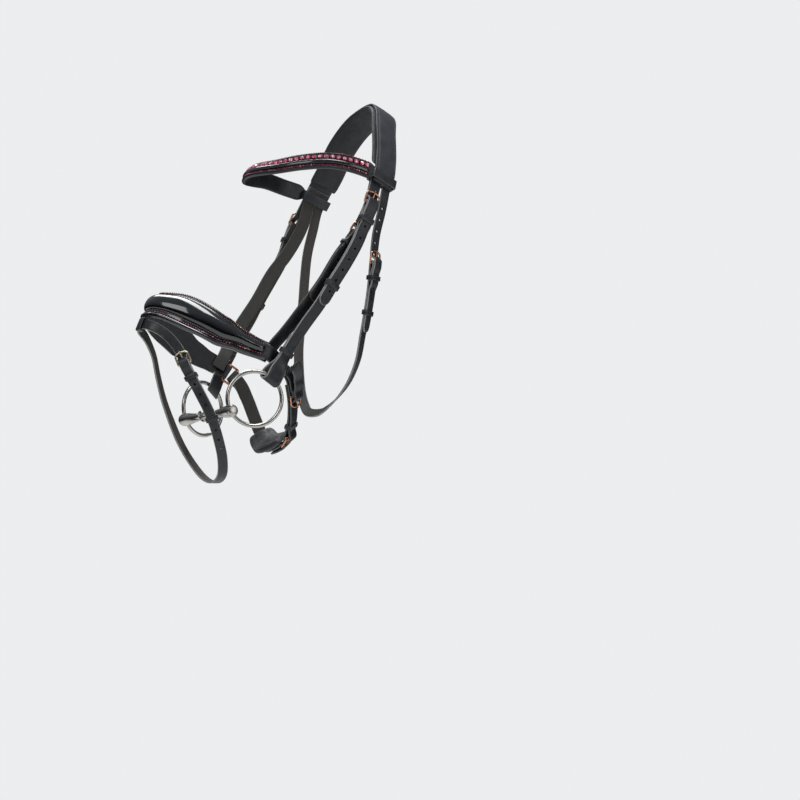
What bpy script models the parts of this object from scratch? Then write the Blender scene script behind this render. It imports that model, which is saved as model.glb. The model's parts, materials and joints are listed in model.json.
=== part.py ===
"""Snaffle bridle with an anatomical crown, crystal browband, padded crank noseband and flash.

The bridle hangs as it does on a horse: the horse faces -Y, its left (near) side is +X and
+Z is up. The origin is the middle of the crown's underside, where it rests on the poll.
All numbers are millimetres until MM turns them to metres.
"""
import math

import bmesh
import bpy
from mathutils import Matrix, Vector, geometry

MM = 0.001

# Leather and clearances
LEATHER = 2.4
GAP = 0.4
CHEEK_WIDTH = 16.0
THIN_WIDTH = 12.5
CROWN_LEATHER = 3.2
CROWN_WIDTH = 32.0
CROWN_HALF_LENGTH = 162.0
HOLE_RADIUS = 1.6
STRAP_START = 3.0

# Buckles
BAR_RADIUS = 1.25
WRAP = BAR_RADIUS + 0.3 + LEATHER / 2
TONGUE_THICKNESS = 1.8
TONGUE_WIDTH = 2.6

# Bit
RING_RADIUS = 33.5
RING_WIRE = 2.5
RING_CENTRE = Vector((71, -213, -387))
RING_TURN = math.radians(18)
RING_HOLE_ANGLE = math.radians(-28)
RING_SEAT_ANGLE = math.radians(127)
LINK_HALF = 11.0

# Line through the middle of the horse's head, from between the ears to the muzzle
HEAD_TOP = Vector((0, -60, -110))
HEAD_END = Vector((0, -237, -336))
CHEEK_FLATNESS = 1.8


# ---------------------------------------------------------------- routes over the head

def heading(before, here, after):
    """Direction of a smooth line at one of its waypoints."""
    back, ahead = here - before, after - here
    if back.length < 1e-6:
        return ahead.normalized()
    if ahead.length < 1e-6:
        return back.normalized()
    return (back.normalized() * ahead.length + ahead.normalized() * back.length).normalized()


def smooth_line(points, closed, steps=12):
    """Points along a smooth curve through the waypoints."""
    count = len(points)
    line = []
    for i in range(count if closed else count - 1):
        start, end = points[i], points[(i + 1) % count]
        before = points[i - 1] if closed or i > 0 else start
        after = points[(i + 2) % count] if closed or i + 2 < count else end
        reach = (end - start).length / 3
        lead = start + heading(before, start, end) * reach
        trail = end - heading(start, end, after) * reach
        line += geometry.interpolate_bezier(start, lead, trail, end, steps + 1)[:-1]
    line.append(points[0] if closed else points[-1])
    return line


def outward(point, along):
    """Direction away from the head at a point, square to the strap's run."""
    axis = HEAD_END - HEAD_TOP
    share = min(max((point - HEAD_TOP).dot(axis) / axis.length_squared, 0), 1)
    away = point - (HEAD_TOP + axis * share)
    away.x *= CHEEK_FLATNESS
    return (away - along * away.dot(along)).normalized()


class Route:
    """A smooth line on the head; places on it are distances in millimetres."""

    def __init__(self, waypoints, symmetric=False, closed=False):
        points = [Vector(p) for p in waypoints]
        if symmetric or closed:
            other = [Vector((-p.x, p.y, p.z)) for p in reversed(points)]
        if symmetric:
            points = other[:-1] + points
        if closed:
            points = points + other[1:-1]
        self.closed = closed
        self.line = smooth_line(points, closed)
        self.reach = [0.0]
        for a, b in zip(self.line, self.line[1:]):
            self.reach.append(self.reach[-1] + (b - a).length)
        self.length = self.reach[-1]
        self.zero = self.length / 2 if symmetric else 0.0
        self.end = self.length - self.zero

    def locate(self, distance):
        """Point and direction at a distance; past its ends the line runs on straight."""
        place = distance + self.zero
        if self.closed:
            place %= self.length
        index = 0
        while index < len(self.reach) - 2 and self.reach[index + 1] < place:
            index += 1
        a, b = self.line[index], self.line[index + 1]
        span = self.reach[index + 1] - self.reach[index]
        share = (place - self.reach[index]) / span
        mid = index + min(max(share, 0), 1)
        return a + (b - a) * share, self.direction(mid)

    def direction(self, mid):
        """Direction blended between the line's joints, so that frames turn smoothly."""
        index = min(int(mid), len(self.line) - 2)
        share = mid - index
        return (self.joint(index).lerp(self.joint(index + 1), share)).normalized()

    def joint(self, index):
        last = len(self.line) - 1
        if self.closed:
            before, after = self.line[(index - 1) % last], self.line[(index + 1) % last]
        else:
            before, after = self.line[max(index - 1, 0)], self.line[min(index + 1, last)]
        return (after - before).normalized()

    def axes(self, distance):
        point, along = self.locate(distance)
        out = outward(point, along)
        return point, along, out.cross(along), out

    def at(self, distance, height=0.0, sideways=0.0):
        point, _, across, out = self.axes(distance)
        return point + out * height + across * sideways

    def near(self, target):
        """The distance at which the line passes closest to a point."""
        target = Vector(target)
        index = min(range(len(self.line)), key=lambda i: (self.line[i] - target).length)
        return self.reach[index] - self.zero


def placed(x_axis, y_axis, z_axis, origin):
    """Matrix with the given axes and an origin in millimetres."""
    columns = [v.to_4d() for v in (x_axis, y_axis, z_axis)]
    for column in columns:
        column.w = 0
    matrix = Matrix(columns + [(origin * MM).to_4d()])
    return matrix.transposed()


# ---------------------------------------------------------------- scene, finishes, objects

for old in list(bpy.data.objects):
    bpy.data.objects.remove(old)

PARTS = bpy.data.collections.new("snaffle_bridle")
CUTTERS = bpy.data.collections.new("cutters")
bpy.context.scene.collection.children.link(PARTS)
bpy.context.scene.collection.children.link(CUTTERS)


def finish(name, red, green, blue, roughness, metallic=0.0):
    material = bpy.data.materials.new(name)
    material.use_nodes = True
    shader = material.node_tree.nodes["Principled BSDF"]
    shader.inputs["Base Color"].default_value = (red, green, blue, 1)
    shader.inputs["Roughness"].default_value = roughness
    shader.inputs["Metallic"].default_value = metallic
    return material


BLACK_LEATHER = finish("black_leather", 0.018, 0.018, 0.021, 0.5)
PATENT_LEATHER = finish("patent_leather", 0.008, 0.009, 0.012, 0.12)
PADDING = finish("padded_lining", 0.014, 0.014, 0.015, 0.7)
ROSE_METAL = finish("rose_metal", 0.78, 0.55, 0.42, 0.25, 1.0)
STEEL = finish("bit_steel", 0.62, 0.61, 0.6, 0.22, 1.0)
CRYSTAL = finish("rose_crystal", 0.75, 0.1, 0.22, 0.08)


def add_object(name, data, material, collection=PARTS):
    thing = bpy.data.objects.new(name, data)
    collection.objects.link(thing)
    if material:
        data.materials.append(material)
    return thing


def hide_cutter(thing):
    thing.hide_render = True
    thing.display_type = "WIRE"


def mesh_from(bm, name):
    mesh = bpy.data.meshes.new(name)
    bm.to_mesh(mesh)
    bm.free()
    return mesh


def combine(thing, other, operation):
    """Cut from or join to a piece; the other mesh is hidden with the cutters."""
    boolean = thing.modifiers.new(other.name, "BOOLEAN")
    boolean.operation = operation
    boolean.object = other
    hide_cutter(other)


def mirrored(source, name):
    """The same piece for the right side, with its origin mirrored too."""
    graph = bpy.context.evaluated_depsgraph_get()
    mesh = bpy.data.meshes.new_from_object(source.evaluated_get(graph))
    pivot = source.matrix_world.translation.copy()
    pivot.x = -pivot.x
    mesh.transform(Matrix.Translation(-pivot) @ Matrix.Scale(-1, 4, (1, 0, 0)) @ source.matrix_world)
    mesh.flip_normals()
    bm = bmesh.new()
    bm.from_mesh(mesh)
    bmesh.ops.remove_doubles(bm, verts=bm.verts, dist=1e-6)
    bm.to_mesh(mesh)
    bm.free()
    thing = add_object(name, mesh, None)
    thing.location = pivot
    return thing


# ---------------------------------------------------------------- shape builders

def ease(share):
    return share * share * (3 - 2 * share)


def between(knots, place):
    """A value that eases between (place, value) knots."""
    if place <= knots[0][0]:
        return knots[0][1]
    for (p0, v0), (p1, v1) in zip(knots, knots[1:]):
        if place <= p1:
            return v0 + (v1 - v0) * ease((place - p0) / (p1 - p0))
    return knots[-1][1]


def run(knots, step=12.0):
    """Path points (distance, height) that ease in height from knot to knot."""
    points = [knots[0]]
    for (s0, h0), (s1, h1) in zip(knots, knots[1:]):
        level = abs(h1 - h0) < 0.01
        count = max(1, math.ceil(abs(s1 - s0) / step)) if level else 5
        for i in range(1, count + 1):
            share = i / count
            points.append((s0 + (s1 - s0) * share, h0 + (h1 - h0) * ease(share)))
    return points


def fold(place, height, radius, side):
    """Half a turn about a bar, from the outer layer to the inner one."""
    turns = [math.pi * i / 6 for i in range(7)]
    return [(place + side * radius * math.sin(a), height + radius * math.cos(a)) for a in turns]


def strap(name, route, path, width, material=BLACK_LEATHER, tip=0.0, lean=None, thickness=LEATHER):
    """Flat leather along a path of (distance, height); tip rounds off its last millimetres."""
    if tip:
        (s0, _), (s1, h1) = path[-2], path[-1]
        side = 1 if s1 > s0 else -1
        path = path[:-1] + [(s1 - side * tip * left, h1) for left in (1, 0.5, 0.2, 0.03)]
    middle = [route.at(s, h) for s, h in path]
    left_over = [0.0]
    for a, b in zip(reversed(middle), list(reversed(middle))[1:]):
        left_over.append(left_over[-1] + (a - b).length)
    left_over.reverse()
    rows = len(path) - 1
    bm = bmesh.new()
    bmesh.ops.create_grid(bm, x_segments=rows, y_segments=1, size=1)
    for vertex in bm.verts:
        row = round((vertex.co.x + 1) / 2 * rows)
        s, h = path[row]
        half = (width(s) if callable(width) else width) / 2
        if tip and left_over[row] < tip:
            half *= math.sqrt(1 - (1 - left_over[row] / tip) ** 2) * 0.85 + 0.15
        v = vertex.co.y * half
        skew, tilt = lean(s) if lean else (0, 0)
        vertex.co = route.at(s + v * skew, h + v * tilt, v) * MM
    thing = add_object(name, mesh_from(bm, name), material)
    wall = thing.modifiers.new("leather", "SOLIDIFY")
    wall.thickness = thickness * MM
    wall.offset = 0
    wall.use_even_offset = True
    return thing


def slab(name, rows, columns, shape, material):
    """Closed solid from a flat slab; shape(u, t, top) places each corner, u and t in -1..1."""
    bm = bmesh.new()
    bmesh.ops.create_grid(bm, x_segments=rows, y_segments=columns, size=1)
    floor = bm.verts[:]
    raised = bmesh.ops.extrude_face_region(bm, geom=bm.faces[:], use_keep_orig=True)
    tops = [e for e in raised["geom"] if isinstance(e, bmesh.types.BMVert)]
    bmesh.ops.translate(bm, verts=tops, vec=(0, 0, 1))
    bmesh.ops.recalc_face_normals(bm, faces=bm.faces)
    for vertex in floor:
        vertex.co = shape(vertex.co.x, vertex.co.y, False) * MM
    for vertex in tops:
        vertex.co = shape(vertex.co.x, vertex.co.y, True) * MM
    return add_object(name, mesh_from(bm, name), material)


def plate(name, outlines, thickness, matrix, material):
    """Flat outline, with any further outlines as its holes, given a thickness."""
    curve = bpy.data.curves.new(name, "CURVE")
    curve.dimensions = "2D"
    curve.fill_mode = "BOTH"
    curve.extrude = thickness / 2 * MM
    for outline in outlines:
        spline = curve.splines.new("POLY")
        spline.points.add(len(outline) - 1)
        spline.use_cyclic_u = True
        for point, (x, y) in zip(spline.points, outline):
            point.co = (x * MM, y * MM, 0, 1)
    thing = add_object(name, curve, material)
    thing.matrix_world = matrix
    return thing


def wire(name, points, radius, matrix, material):
    """Closed ring of round wire through the points."""
    curve = bpy.data.curves.new(name, "CURVE")
    curve.dimensions = "3D"
    curve.bevel_depth = radius * MM
    curve.bevel_resolution = 1
    spline = curve.splines.new("POLY")
    spline.points.add(len(points) - 1)
    spline.use_cyclic_u = True
    for point, place in zip(spline.points, points):
        point.co = (*(Vector(place) * MM), 1)
    thing = add_object(name, curve, material)
    thing.matrix_world = matrix
    return thing


def circle(x, y, radius, count=12, start=0.0, sweep=2 * math.pi):
    angles = [start + sweep * i / count for i in range(count)]
    return [(x + radius * math.cos(a), y + radius * math.sin(a)) for a in angles]


def rounded_box(width, height, corner):
    """Outline of a rectangle with rounded corners, centred on the origin."""
    points = []
    for quarter, (sx, sy) in enumerate(((1, 1), (-1, 1), (-1, -1), (1, -1))):
        x, y = sx * (width / 2 - corner), sy * (height / 2 - corner)
        start = quarter * math.pi / 2
        points += [(x + corner * math.cos(start + a), y + corner * math.sin(start + a))
                   for a in (0, math.pi / 4, math.pi / 2)]
    return points


def keeper(name, route, place, width, low, high, depth=6.5, wall=1.3, material=BLACK_LEATHER):
    """Leather loop around the straps that lie between two heights."""
    inner_width, inner_height = width + 1.2, high - low + 0.9
    outer = rounded_box(inner_width + 2 * wall, inner_height + 2 * wall, 1.8)
    inner = rounded_box(inner_width, inner_height, 0.7)
    _, along, across, out = route.axes(place)
    centre = route.at(place, (low + high) / 2)
    return plate(name, [outer, inner], depth, placed(across, out, along, centre), material)


def drill(bm, route, holes, depth=3.2):
    """Round holes through a strap at (distance, height) places, added to a cutter's mesh."""
    for place, height in holes:
        _, along, across, out = route.axes(place)
        matrix = placed(along, across, out, route.at(place, height))
        bmesh.ops.create_cone(bm, cap_ends=True, segments=8, radius1=HOLE_RADIUS * MM,
                              radius2=HOLE_RADIUS * MM, depth=depth * MM, matrix=matrix)


def box_cutter(bm, matrix, size):
    scale = Matrix.Diagonal((size[0] * MM, size[1] * MM, size[2] * MM, 1))
    bmesh.ops.create_cube(bm, size=1, matrix=matrix @ scale)


def cut(thing, bm):
    cutter = add_object(thing.name + "_cutter", mesh_from(bm, thing.name + "_cutter"), None, CUTTERS)
    combine(thing, cutter, "DIFFERENCE")


# ---------------------------------------------------------------- buckles

class Buckle:
    """A bridle buckle: the lower strap folds round its heel bar, the billet lies over it.

    front is +1 when the front bar lies at a larger distance along the route than the heel bar.
    """

    def __init__(self, route, place, front, width, length, tail):
        self.route = route
        self.place = place
        self.front = front
        self.width = width
        self.length = length
        self.tail = tail
        self.base = LEATHER / 2
        self.bar = self.base + WRAP
        self.chape_lie = 1.5 * LEATHER + GAP
        self.billet_top = self.bar + WRAP + LEATHER + GAP
        self.billet_chape = self.chape_lie + LEATHER + GAP + 0.1
        self.knots = [(length - 4, self.base), (3.5, self.billet_top), (-3, self.billet_top),
                      (8 - tail, self.billet_chape), (-tail - 1, self.billet_chape),
                      (-tail - 12, self.chape_lie)]

    def to(self, reach):
        return self.place + self.front * reach

    def matrix(self):
        _, along, _, out = self.route.axes(self.place)
        ahead = along * self.front
        return placed(ahead, out.cross(ahead), out, self.route.at(self.place, self.bar))

    def side_matrix(self):
        """Axes for outlines seen from the side: ahead, out and across."""
        _, along, _, out = self.route.axes(self.place)
        ahead = along * self.front
        return placed(ahead, out, ahead.cross(out), self.route.at(self.place, self.bar))

    def frame(self, name):
        half = self.width / 2 + 0.7 + BAR_RADIUS
        bow = 4.5
        side = self.length - bow
        points = [(0, -half + 1.2), (0, half - 1.2), (1.2, half)]
        for i in range(9):
            turn = math.pi / 2 - math.pi * i / 8
            points.append((side + bow * math.cos(turn), half * math.sin(turn)))
        points.append((1.2, -half))
        return wire(name, [(x, y, 0) for x, y in points], BAR_RADIUS, self.matrix(), ROSE_METAL)

    def tongue_rise(self):
        return math.atan2(BAR_RADIUS + 0.3 + TONGUE_THICKNESS / 2, self.length)

    def tongue(self, name):
        rise = self.tongue_rise()
        eye, half = BAR_RADIUS + 1.65, TONGUE_THICKNESS / 2
        spread = math.asin(half / eye)
        rim = circle(0, 0, eye, 12, rise + spread, 2 * math.pi - 2 * spread)
        rim.append((eye * math.cos(rise - spread), eye * math.sin(rise - spread)))
        blade = []
        for x, y in ((self.length + 2, -half), (self.length + 2.8, 0), (self.length + 2, half * 0.8)):
            blade.append((x * math.cos(rise) - y * math.sin(rise), x * math.sin(rise) + y * math.cos(rise)))
        hole = circle(0, 0, BAR_RADIUS + 0.35, 10)
        return plate(name, [rim + blade, hole], TONGUE_WIDTH, self.side_matrix(), ROSE_METAL)

    def chape(self):
        """Path of the lower strap's folded end, from its tail to the layer below the bar."""
        knots = [(self.to(-self.tail), self.chape_lie), (self.to(8 - self.tail), self.chape_lie),
                 (self.to(-3), self.bar + WRAP), (self.to(0), self.bar + WRAP)]
        return run(knots)[:-1] + fold(self.place, self.bar, WRAP, self.front)

    def billet(self, reach):
        """Path of the billet from below the front bar to its tip."""
        knots = self.knots + [(-reach, self.chape_lie)]
        return run([(self.to(d), h) for d, h in knots])

    def billet_height(self, reach):
        """Height of the billet's middle at a reach ahead of the heel bar."""
        return between(sorted(self.knots), reach)

    def holes(self, reaches):
        return [(self.to(reach), self.billet_height(reach)) for reach in reaches]

    def approach(self, start):
        """Path of the billet from its upper end to the front bar."""
        return run([(start, self.base), (self.to(self.length - 4), self.base)])[:-1]

    def cut_chape(self, bm):
        """Slot at the fold, in which the tongue's eye sits."""
        low, high = -self.bar - 1, WRAP + LEATHER / 2 + 0.15
        shift = Matrix.Translation(Vector((1.3, 0, (low + high) / 2)) * MM)
        box_cutter(bm, self.matrix() @ shift, (9.4, TONGUE_WIDTH + 1.6, high - low))

    def cut_billet(self, bm):
        """Long hole where the tongue comes through, with room to lift."""
        rise = self.tongue_rise()
        reach = 12.0
        while self.bar + reach * math.tan(rise) > self.billet_height(reach):
            reach -= 0.1
        centre = Vector((reach, 0, reach * math.tan(rise) + 0.8)) * MM
        turn = Matrix.Rotation(-rise, 4, "Y")
        box_cutter(bm, self.matrix() @ Matrix.Translation(centre) @ turn, (9, TONGUE_WIDTH + 1.2, 5))


# ---------------------------------------------------------------- the routes

CROWN = Route([(0, 0, 0), (30, -8, -9), (55, -21, -36), (75, -32, -74), (86.5, -41, -98),
               (92, -48, -115), (94.5, -55, -130)], symmetric=True)
CROWN_END = min(CROWN_HALF_LENGTH, CROWN.end)
UNDER_CROWN = -LEATHER - 2 * GAP
UNDER_BILLETS = 2 * UNDER_CROWN

RING_FORWARD = Vector((-math.sin(RING_TURN), -math.cos(RING_TURN), 0))
RING_UP = Vector((0, 0, 1))
RING_NORMAL = RING_FORWARD.cross(RING_UP).normalized()


def ring_point(angle):
    return RING_CENTRE + (RING_FORWARD * math.cos(angle) + RING_UP * math.sin(angle)) * RING_RADIUS


def ring_tangent(angle):
    return RING_UP * math.cos(angle) - RING_FORWARD * math.sin(angle)


SEAT = ring_point(RING_SEAT_ANGLE)
HOLE = ring_point(RING_HOLE_ANGLE)
BIT_FOLD = 4.9 + LEATHER / 2
CHEEK_LOW = Vector((85.5, -177, -330))
SEAT_OUT = outward(SEAT, (SEAT - CHEEK_LOW).normalized())

CHEEK = Route([CROWN.at(CROWN_END - 26, UNDER_CROWN, -8), CROWN.at(CROWN_END - 4, UNDER_CROWN, -8),
               (97, -72, -151), (99.5, -86, -185), (100, -103, -214),
               (98, -119, -239), (95, -135, -266), (90.5, -156, -296), CHEEK_LOW,
               SEAT + SEAT_OUT * (BIT_FOLD - LEATHER / 2)])
HANGER = Route([CROWN.at(CROWN_END - 26, UNDER_BILLETS, -7), CROWN.at(CROWN_END - 4, UNDER_BILLETS, -7),
                (86, -63, -140), (87, -84, -177), (87.5, -106, -205), (85, -130, -243),
                (81, -156, -278), (75, -174, -303), (66, -186, -320), (64, -195, -334)])
THROAT = Route([(0, -87, -391), (20, -89, -389), (42, -84, -377), (62, -78, -358), (76, -73, -332),
                (83, -70, -301), (86, -66, -274), (88, -61, -238), (89, -58, -207), (89, -54, -175),
                (89, -46, -144), CROWN.at(CROWN_END - 4, UNDER_CROWN, 8.6),
                CROWN.at(CROWN_END - 26, UNDER_CROWN, 8.6)], symmetric=True)
LOOP_PLACE = CROWN_END - 10
BROW = Route([(0, -177, -93), (38, -166, -93), (66, -143, -89), (83, -114, -87), (91, -86, -91),
              CROWN.at(LOOP_PLACE, 0, -21.5)], symmetric=True)
NOSE = Route([(0, -315, -271), (26, -299, -276), (46, -274, -290), (58, -248, -306),
              (66, -217, -321), (70, -193, -331), (67, -181, -339)], symmetric=True)
NOSE_END = NOSE.near((70, -193, -331))
D_RING_LENGTH = 12.0
D_RING_WIRE = 1.5
NOSE_BAR = NOSE_END + 14
JAW = Route([(0, -152, -438), (22, -147, -433), (40, -147, -417), (52, -150, -396), (60, -156, -372),
             (64, -164, -353), NOSE.at(NOSE_BAR + D_RING_LENGTH)], symmetric=True)
FLASH = Route([(0, -330.5, -296.5), (14, -327, -298.5), (26, -312, -309), (34.5, -298, -328), (41, -289, -352),
               (49, -277, -380), (53, -265, -405), (50, -252, -435), (40, -241, -459),
               (22, -233, -478), (0, -231, -484)], closed=True)


# ---------------------------------------------------------------- headpiece

def crown_width(place):
    return between([(0, 34), (70, CROWN_WIDTH), (CROWN_END - 30, CROWN_WIDTH), (CROWN_END, 30)], abs(place))


def make_crown():
    level = CROWN_LEATHER / 2
    knots = [(-CROWN_END, level), (CROWN_END, level)]
    strap("crown_strap", CROWN, run(knots, 11), crown_width, thickness=CROWN_LEATHER)

    def padding(u, t, top):
        place = u * (CROWN_END - 29)
        thickness = 6.5 - 2.5 * t * t - 2 * u ** 8
        return CROWN.at(place, -GAP if top else -GAP - thickness, t * 19)

    slab("crown_padding", 24, 2, padding, PADDING)


# ---------------------------------------------------------------- cheeks

CHEEK_BUCKLE = Buckle(CHEEK, CHEEK.near((96, -67, -141)), -1, CHEEK_WIDTH, 17, 26)
CHEEK_BILLET_REACH = 146
CHEEK_HOLES = [-31 - 16 * i for i in range(7)]
CHEEK_RUNNER_REACH = -118
TURNED_BACK = 58
STUD_FROM_END = 47
BIT_KEEPER_FROM_END = 36


def bit_lean(place):
    """The strap's end leans and twists to hang square on the bit ring."""
    _, along, across, out = CHEEK.axes(CHEEK.length)
    tangent = ring_tangent(RING_SEAT_ANGLE)
    share = ease(min(max((place - CHEEK.length + 30) / 22, 0), 1))
    return share * tangent.dot(along) / tangent.dot(across), share * tangent.dot(out) / tangent.dot(across)


def make_cheek():
    buckle = CHEEK_BUCKLE
    billet_path = buckle.approach(STRAP_START) + buckle.billet(CHEEK_BILLET_REACH)
    billet = strap("cheek_billet_left", CHEEK, billet_path, CHEEK_WIDTH, tip=9)
    bm = bmesh.new()
    buckle.cut_billet(bm)
    drill(bm, CHEEK, buckle.holes(CHEEK_HOLES))
    cut(billet, bm)

    end = CHEEK.length
    inner = LEATHER / 2 - 2 * BIT_FOLD
    bit_fold = fold(end, LEATHER / 2 - BIT_FOLD, BIT_FOLD, 1)
    under = -LEATHER / 2 - GAP
    back = run([(end, inner), (end - 24, under), (end - TURNED_BACK, under)])
    path = buckle.chape() + run([(buckle.place, LEATHER / 2), (end, LEATHER / 2)])[1:-1]
    path += bit_fold + back[1:]
    piece = strap("cheekpiece_left", CHEEK, path, CHEEK_WIDTH, lean=bit_lean)
    bm = bmesh.new()
    buckle.cut_chape(bm)
    drill(bm, CHEEK, [(end - STUD_FROM_END, under)])
    cut(piece, bm)

    frame = buckle.frame("cheek_buckle_left")
    tongue = buckle.tongue("cheek_tongue_left")
    top = buckle.billet_chape + LEATHER / 2
    fixed = keeper("cheek_keeper_left", CHEEK, buckle.to(4 - buckle.tail), CHEEK_WIDTH, 0, top)
    lie = buckle.chape_lie + LEATHER / 2
    runner = keeper("cheek_runner_left", CHEEK, buckle.to(CHEEK_RUNNER_REACH), CHEEK_WIDTH, 0, lie, 7)
    low = -LEATHER - GAP
    bit_keeper = keeper("bit_keeper_left", CHEEK, end - BIT_KEEPER_FROM_END, CHEEK_WIDTH, low, LEATHER, 6)
    stud = make_hook_stud(end - STUD_FROM_END)
    for piece_left in (billet, piece, frame, tongue, fixed, runner, bit_keeper, stud):
        mirrored(piece_left, piece_left.name.replace("_left", "_right"))


def make_hook_stud(place):
    """Brass stud that closes the strap's turned-back end, on its inner side."""
    profile = [(0, -0.3), (1.2, -0.3), (1.2, -3.2), (4, -3.4), (4, -4.4), (3, -5.4), (0, -5.8)]
    _, along, across, out = CHEEK.axes(place)
    return turned("hook_stud_left", profile, 10, placed(along, across, out, CHEEK.at(place)), ROSE_METAL)


def turned(name, profile, steps, matrix, material):
    """Profile of (radius, height), listed from the top down, spun about its own Z."""
    bm = bmesh.new()
    corners = [bm.verts.new((x * MM, 0, z * MM)) for x, z in profile]
    for a, b in zip(corners, corners[1:]):
        bm.edges.new((a, b))
    thing = add_object(name, mesh_from(bm, name), material)
    spin = thing.modifiers.new("spin", "SCREW")
    spin.steps = steps
    spin.render_steps = steps
    spin.use_merge_vertices = True
    spin.merge_threshold = 0.0001
    thing.matrix_world = matrix
    return thing


# ---------------------------------------------------------------- throatlatch

THROAT_BUCKLE = Buckle(THROAT, THROAT.near((89, -58, -212)), 1, THIN_WIDTH, 15.5, 22)
THROAT_BILLET_REACH = 86
THROAT_HOLES = [72, 57, 42, 27, -30, -44]
THROAT_RUNNER_REACH = -62


def make_throat():
    buckle = THROAT_BUCKLE
    top = THROAT.end - STRAP_START
    billet_path = buckle.approach(top) + buckle.billet(THROAT_BILLET_REACH)
    billet = strap("throat_billet", THROAT, billet_path, THIN_WIDTH, tip=7)
    bm = bmesh.new()
    buckle.cut_billet(bm)
    drill(bm, THROAT, buckle.holes(THROAT_HOLES))
    cut(billet, bm)

    path = buckle.chape() + run([(buckle.place, LEATHER / 2), (-top, LEATHER / 2)], 12)[1:]
    piece = strap("throat_strap", THROAT, path, THIN_WIDTH)
    bm = bmesh.new()
    buckle.cut_chape(bm)
    cut(piece, bm)
    buckle.frame("throat_buckle")
    buckle.tongue("throat_tongue")
    lie, top = buckle.chape_lie + LEATHER / 2, buckle.billet_chape + LEATHER / 2
    keeper("throat_keeper", THROAT, buckle.to(4 - buckle.tail), THIN_WIDTH, 0, top, 5.5)
    keeper("throat_runner", THROAT, buckle.to(THROAT_RUNNER_REACH), THIN_WIDTH, 0, lie, 6)


# ---------------------------------------------------------------- noseband hanger

HANGER_BUCKLE = Buckle(HANGER, HANGER.near((87, -85, -178)), -1, CHEEK_WIDTH, 15, 22)
HANGER_BILLET_REACH = 104
HANGER_HOLES = [-42, -58, -74]


def make_hanger():
    buckle = HANGER_BUCKLE
    base = LEATHER / 2
    billet_path = buckle.approach(STRAP_START) + buckle.billet(HANGER_BILLET_REACH)
    billet = strap("noseband_billet", HANGER, billet_path, CHEEK_WIDTH, tip=8)
    bm = bmesh.new()
    buckle.cut_billet(bm)
    drill(bm, HANGER, buckle.holes(HANGER_HOLES))
    cut(billet, bm)
    path = buckle.chape() + run([(buckle.place, base), (HANGER.length, base)])[1:]
    piece = strap("noseband_hanger_left", HANGER, path, CHEEK_WIDTH)
    bm = bmesh.new()
    buckle.cut_chape(bm)
    cut(piece, bm)
    buckle.frame("hanger_buckle")
    buckle.tongue("hanger_tongue")
    top = buckle.billet_chape + LEATHER / 2
    keeper("hanger_keeper", HANGER, buckle.to(4 - buckle.tail), CHEEK_WIDTH, 0, top, 5.5)
    plain = strap("hanger_plain", HANGER, run([(STRAP_START, base), (HANGER.length, base)]), CHEEK_WIDTH)
    mirrored(plain, "noseband_hanger_right")
    bpy.data.objects.remove(plain)


# ---------------------------------------------------------------- browband

BAND_THICKNESS = 4.4
BAND_HALF_DEPTH = 10.5
STONE_PITCH = 7.2
STONE_HALF = 3.3
STONE_HEIGHT = 3.8
STONE_MIDDLE = 4.4
SETTING_SHARE = 0.45
SETTING_HEIGHT = 1.2


def make_browband():
    reach = BROW.end - 1
    face = BAND_THICKNESS + GAP
    count = int((reach - 5) * 2 / STONE_PITCH)
    rows = count * 2

    def band(u, t, top):
        return BROW.at(u * reach, BAND_THICKNESS if top else 0, t * BAND_HALF_DEPTH)

    def roll(u, t, top):
        rise = 2.8 * (1 - t * t) + 0.3
        return BROW.at(u * (reach - 4), face + (rise if top else 0), -2 + t * 2.4)

    def stones(u, t, top):
        on_stone = round((u + 1) / 2 * rows) % 2
        share = 1 if on_stone else SETTING_SHARE
        rise = STONE_HEIGHT if on_stone else SETTING_HEIGHT
        return BROW.at(u * count * STONE_PITCH / 2, face + (rise if top else 0),
                       STONE_MIDDLE + t * STONE_HALF * share)

    slab("browband", 34, 1, band, BLACK_LEATHER)
    slab("browband_roll", 30, 2, roll, PATENT_LEATHER)
    slab("browband_crystal_row", rows, 1, stones, CRYSTAL)
    low = UNDER_BILLETS - 1
    loop = keeper("browband_loop_left", CROWN, LOOP_PLACE, CROWN_WIDTH + 0.6, low, CROWN_LEATHER, 12, 1.8)
    mirrored(loop, "browband_loop_right")


# ---------------------------------------------------------------- noseband

NOSE_TOP = [(0, 19), (50, 22), (95, 19), (125, 14), (150, 12), (170, 11)]
NOSE_BOTTOM = [(0, -21), (50, -24), (92, -22), (122, -16), (150, -13), (170, -12)]
NOSE_THICKNESS = 5.0
ROLL_TOP = [(0, 12), (50, 13.5), (95, 12), (125, 8), (155, 6)]
ROLL_BOTTOM = [(0, -8), (50, -8), (95, -8), (125, -4), (155, -3)]


def make_noseband():
    def body(u, t, top):
        place = u * NOSE_END
        high, low = between(NOSE_TOP, abs(place)), between(NOSE_BOTTOM, abs(place))
        thickness = NOSE_THICKNESS - 1.5 * t * t - 1.5 * u ** 10
        return NOSE.at(place, thickness if top else 0, low + (high - low) * (t + 1) / 2)

    noseband = slab("noseband", 34, 2, body, PATENT_LEATHER)
    for side in (1, -1):
        combine(noseband, make_tab(side), "UNION")

    def roll(u, t, top):
        place = u * (NOSE_END - 9)
        high, low = between(ROLL_TOP, abs(place)), between(ROLL_BOTTOM, abs(place))
        rise = (6.0 - 2 * abs(u) ** 3) * (1 - t * t) ** 0.7 + 0.4
        base = NOSE_THICKNESS + GAP
        return NOSE.at(place, base + (rise if top else 0), low + (high - low) * (t + 1) / 2)

    slab("noseband_roll", 32, 4, roll, PATENT_LEATHER)


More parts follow.
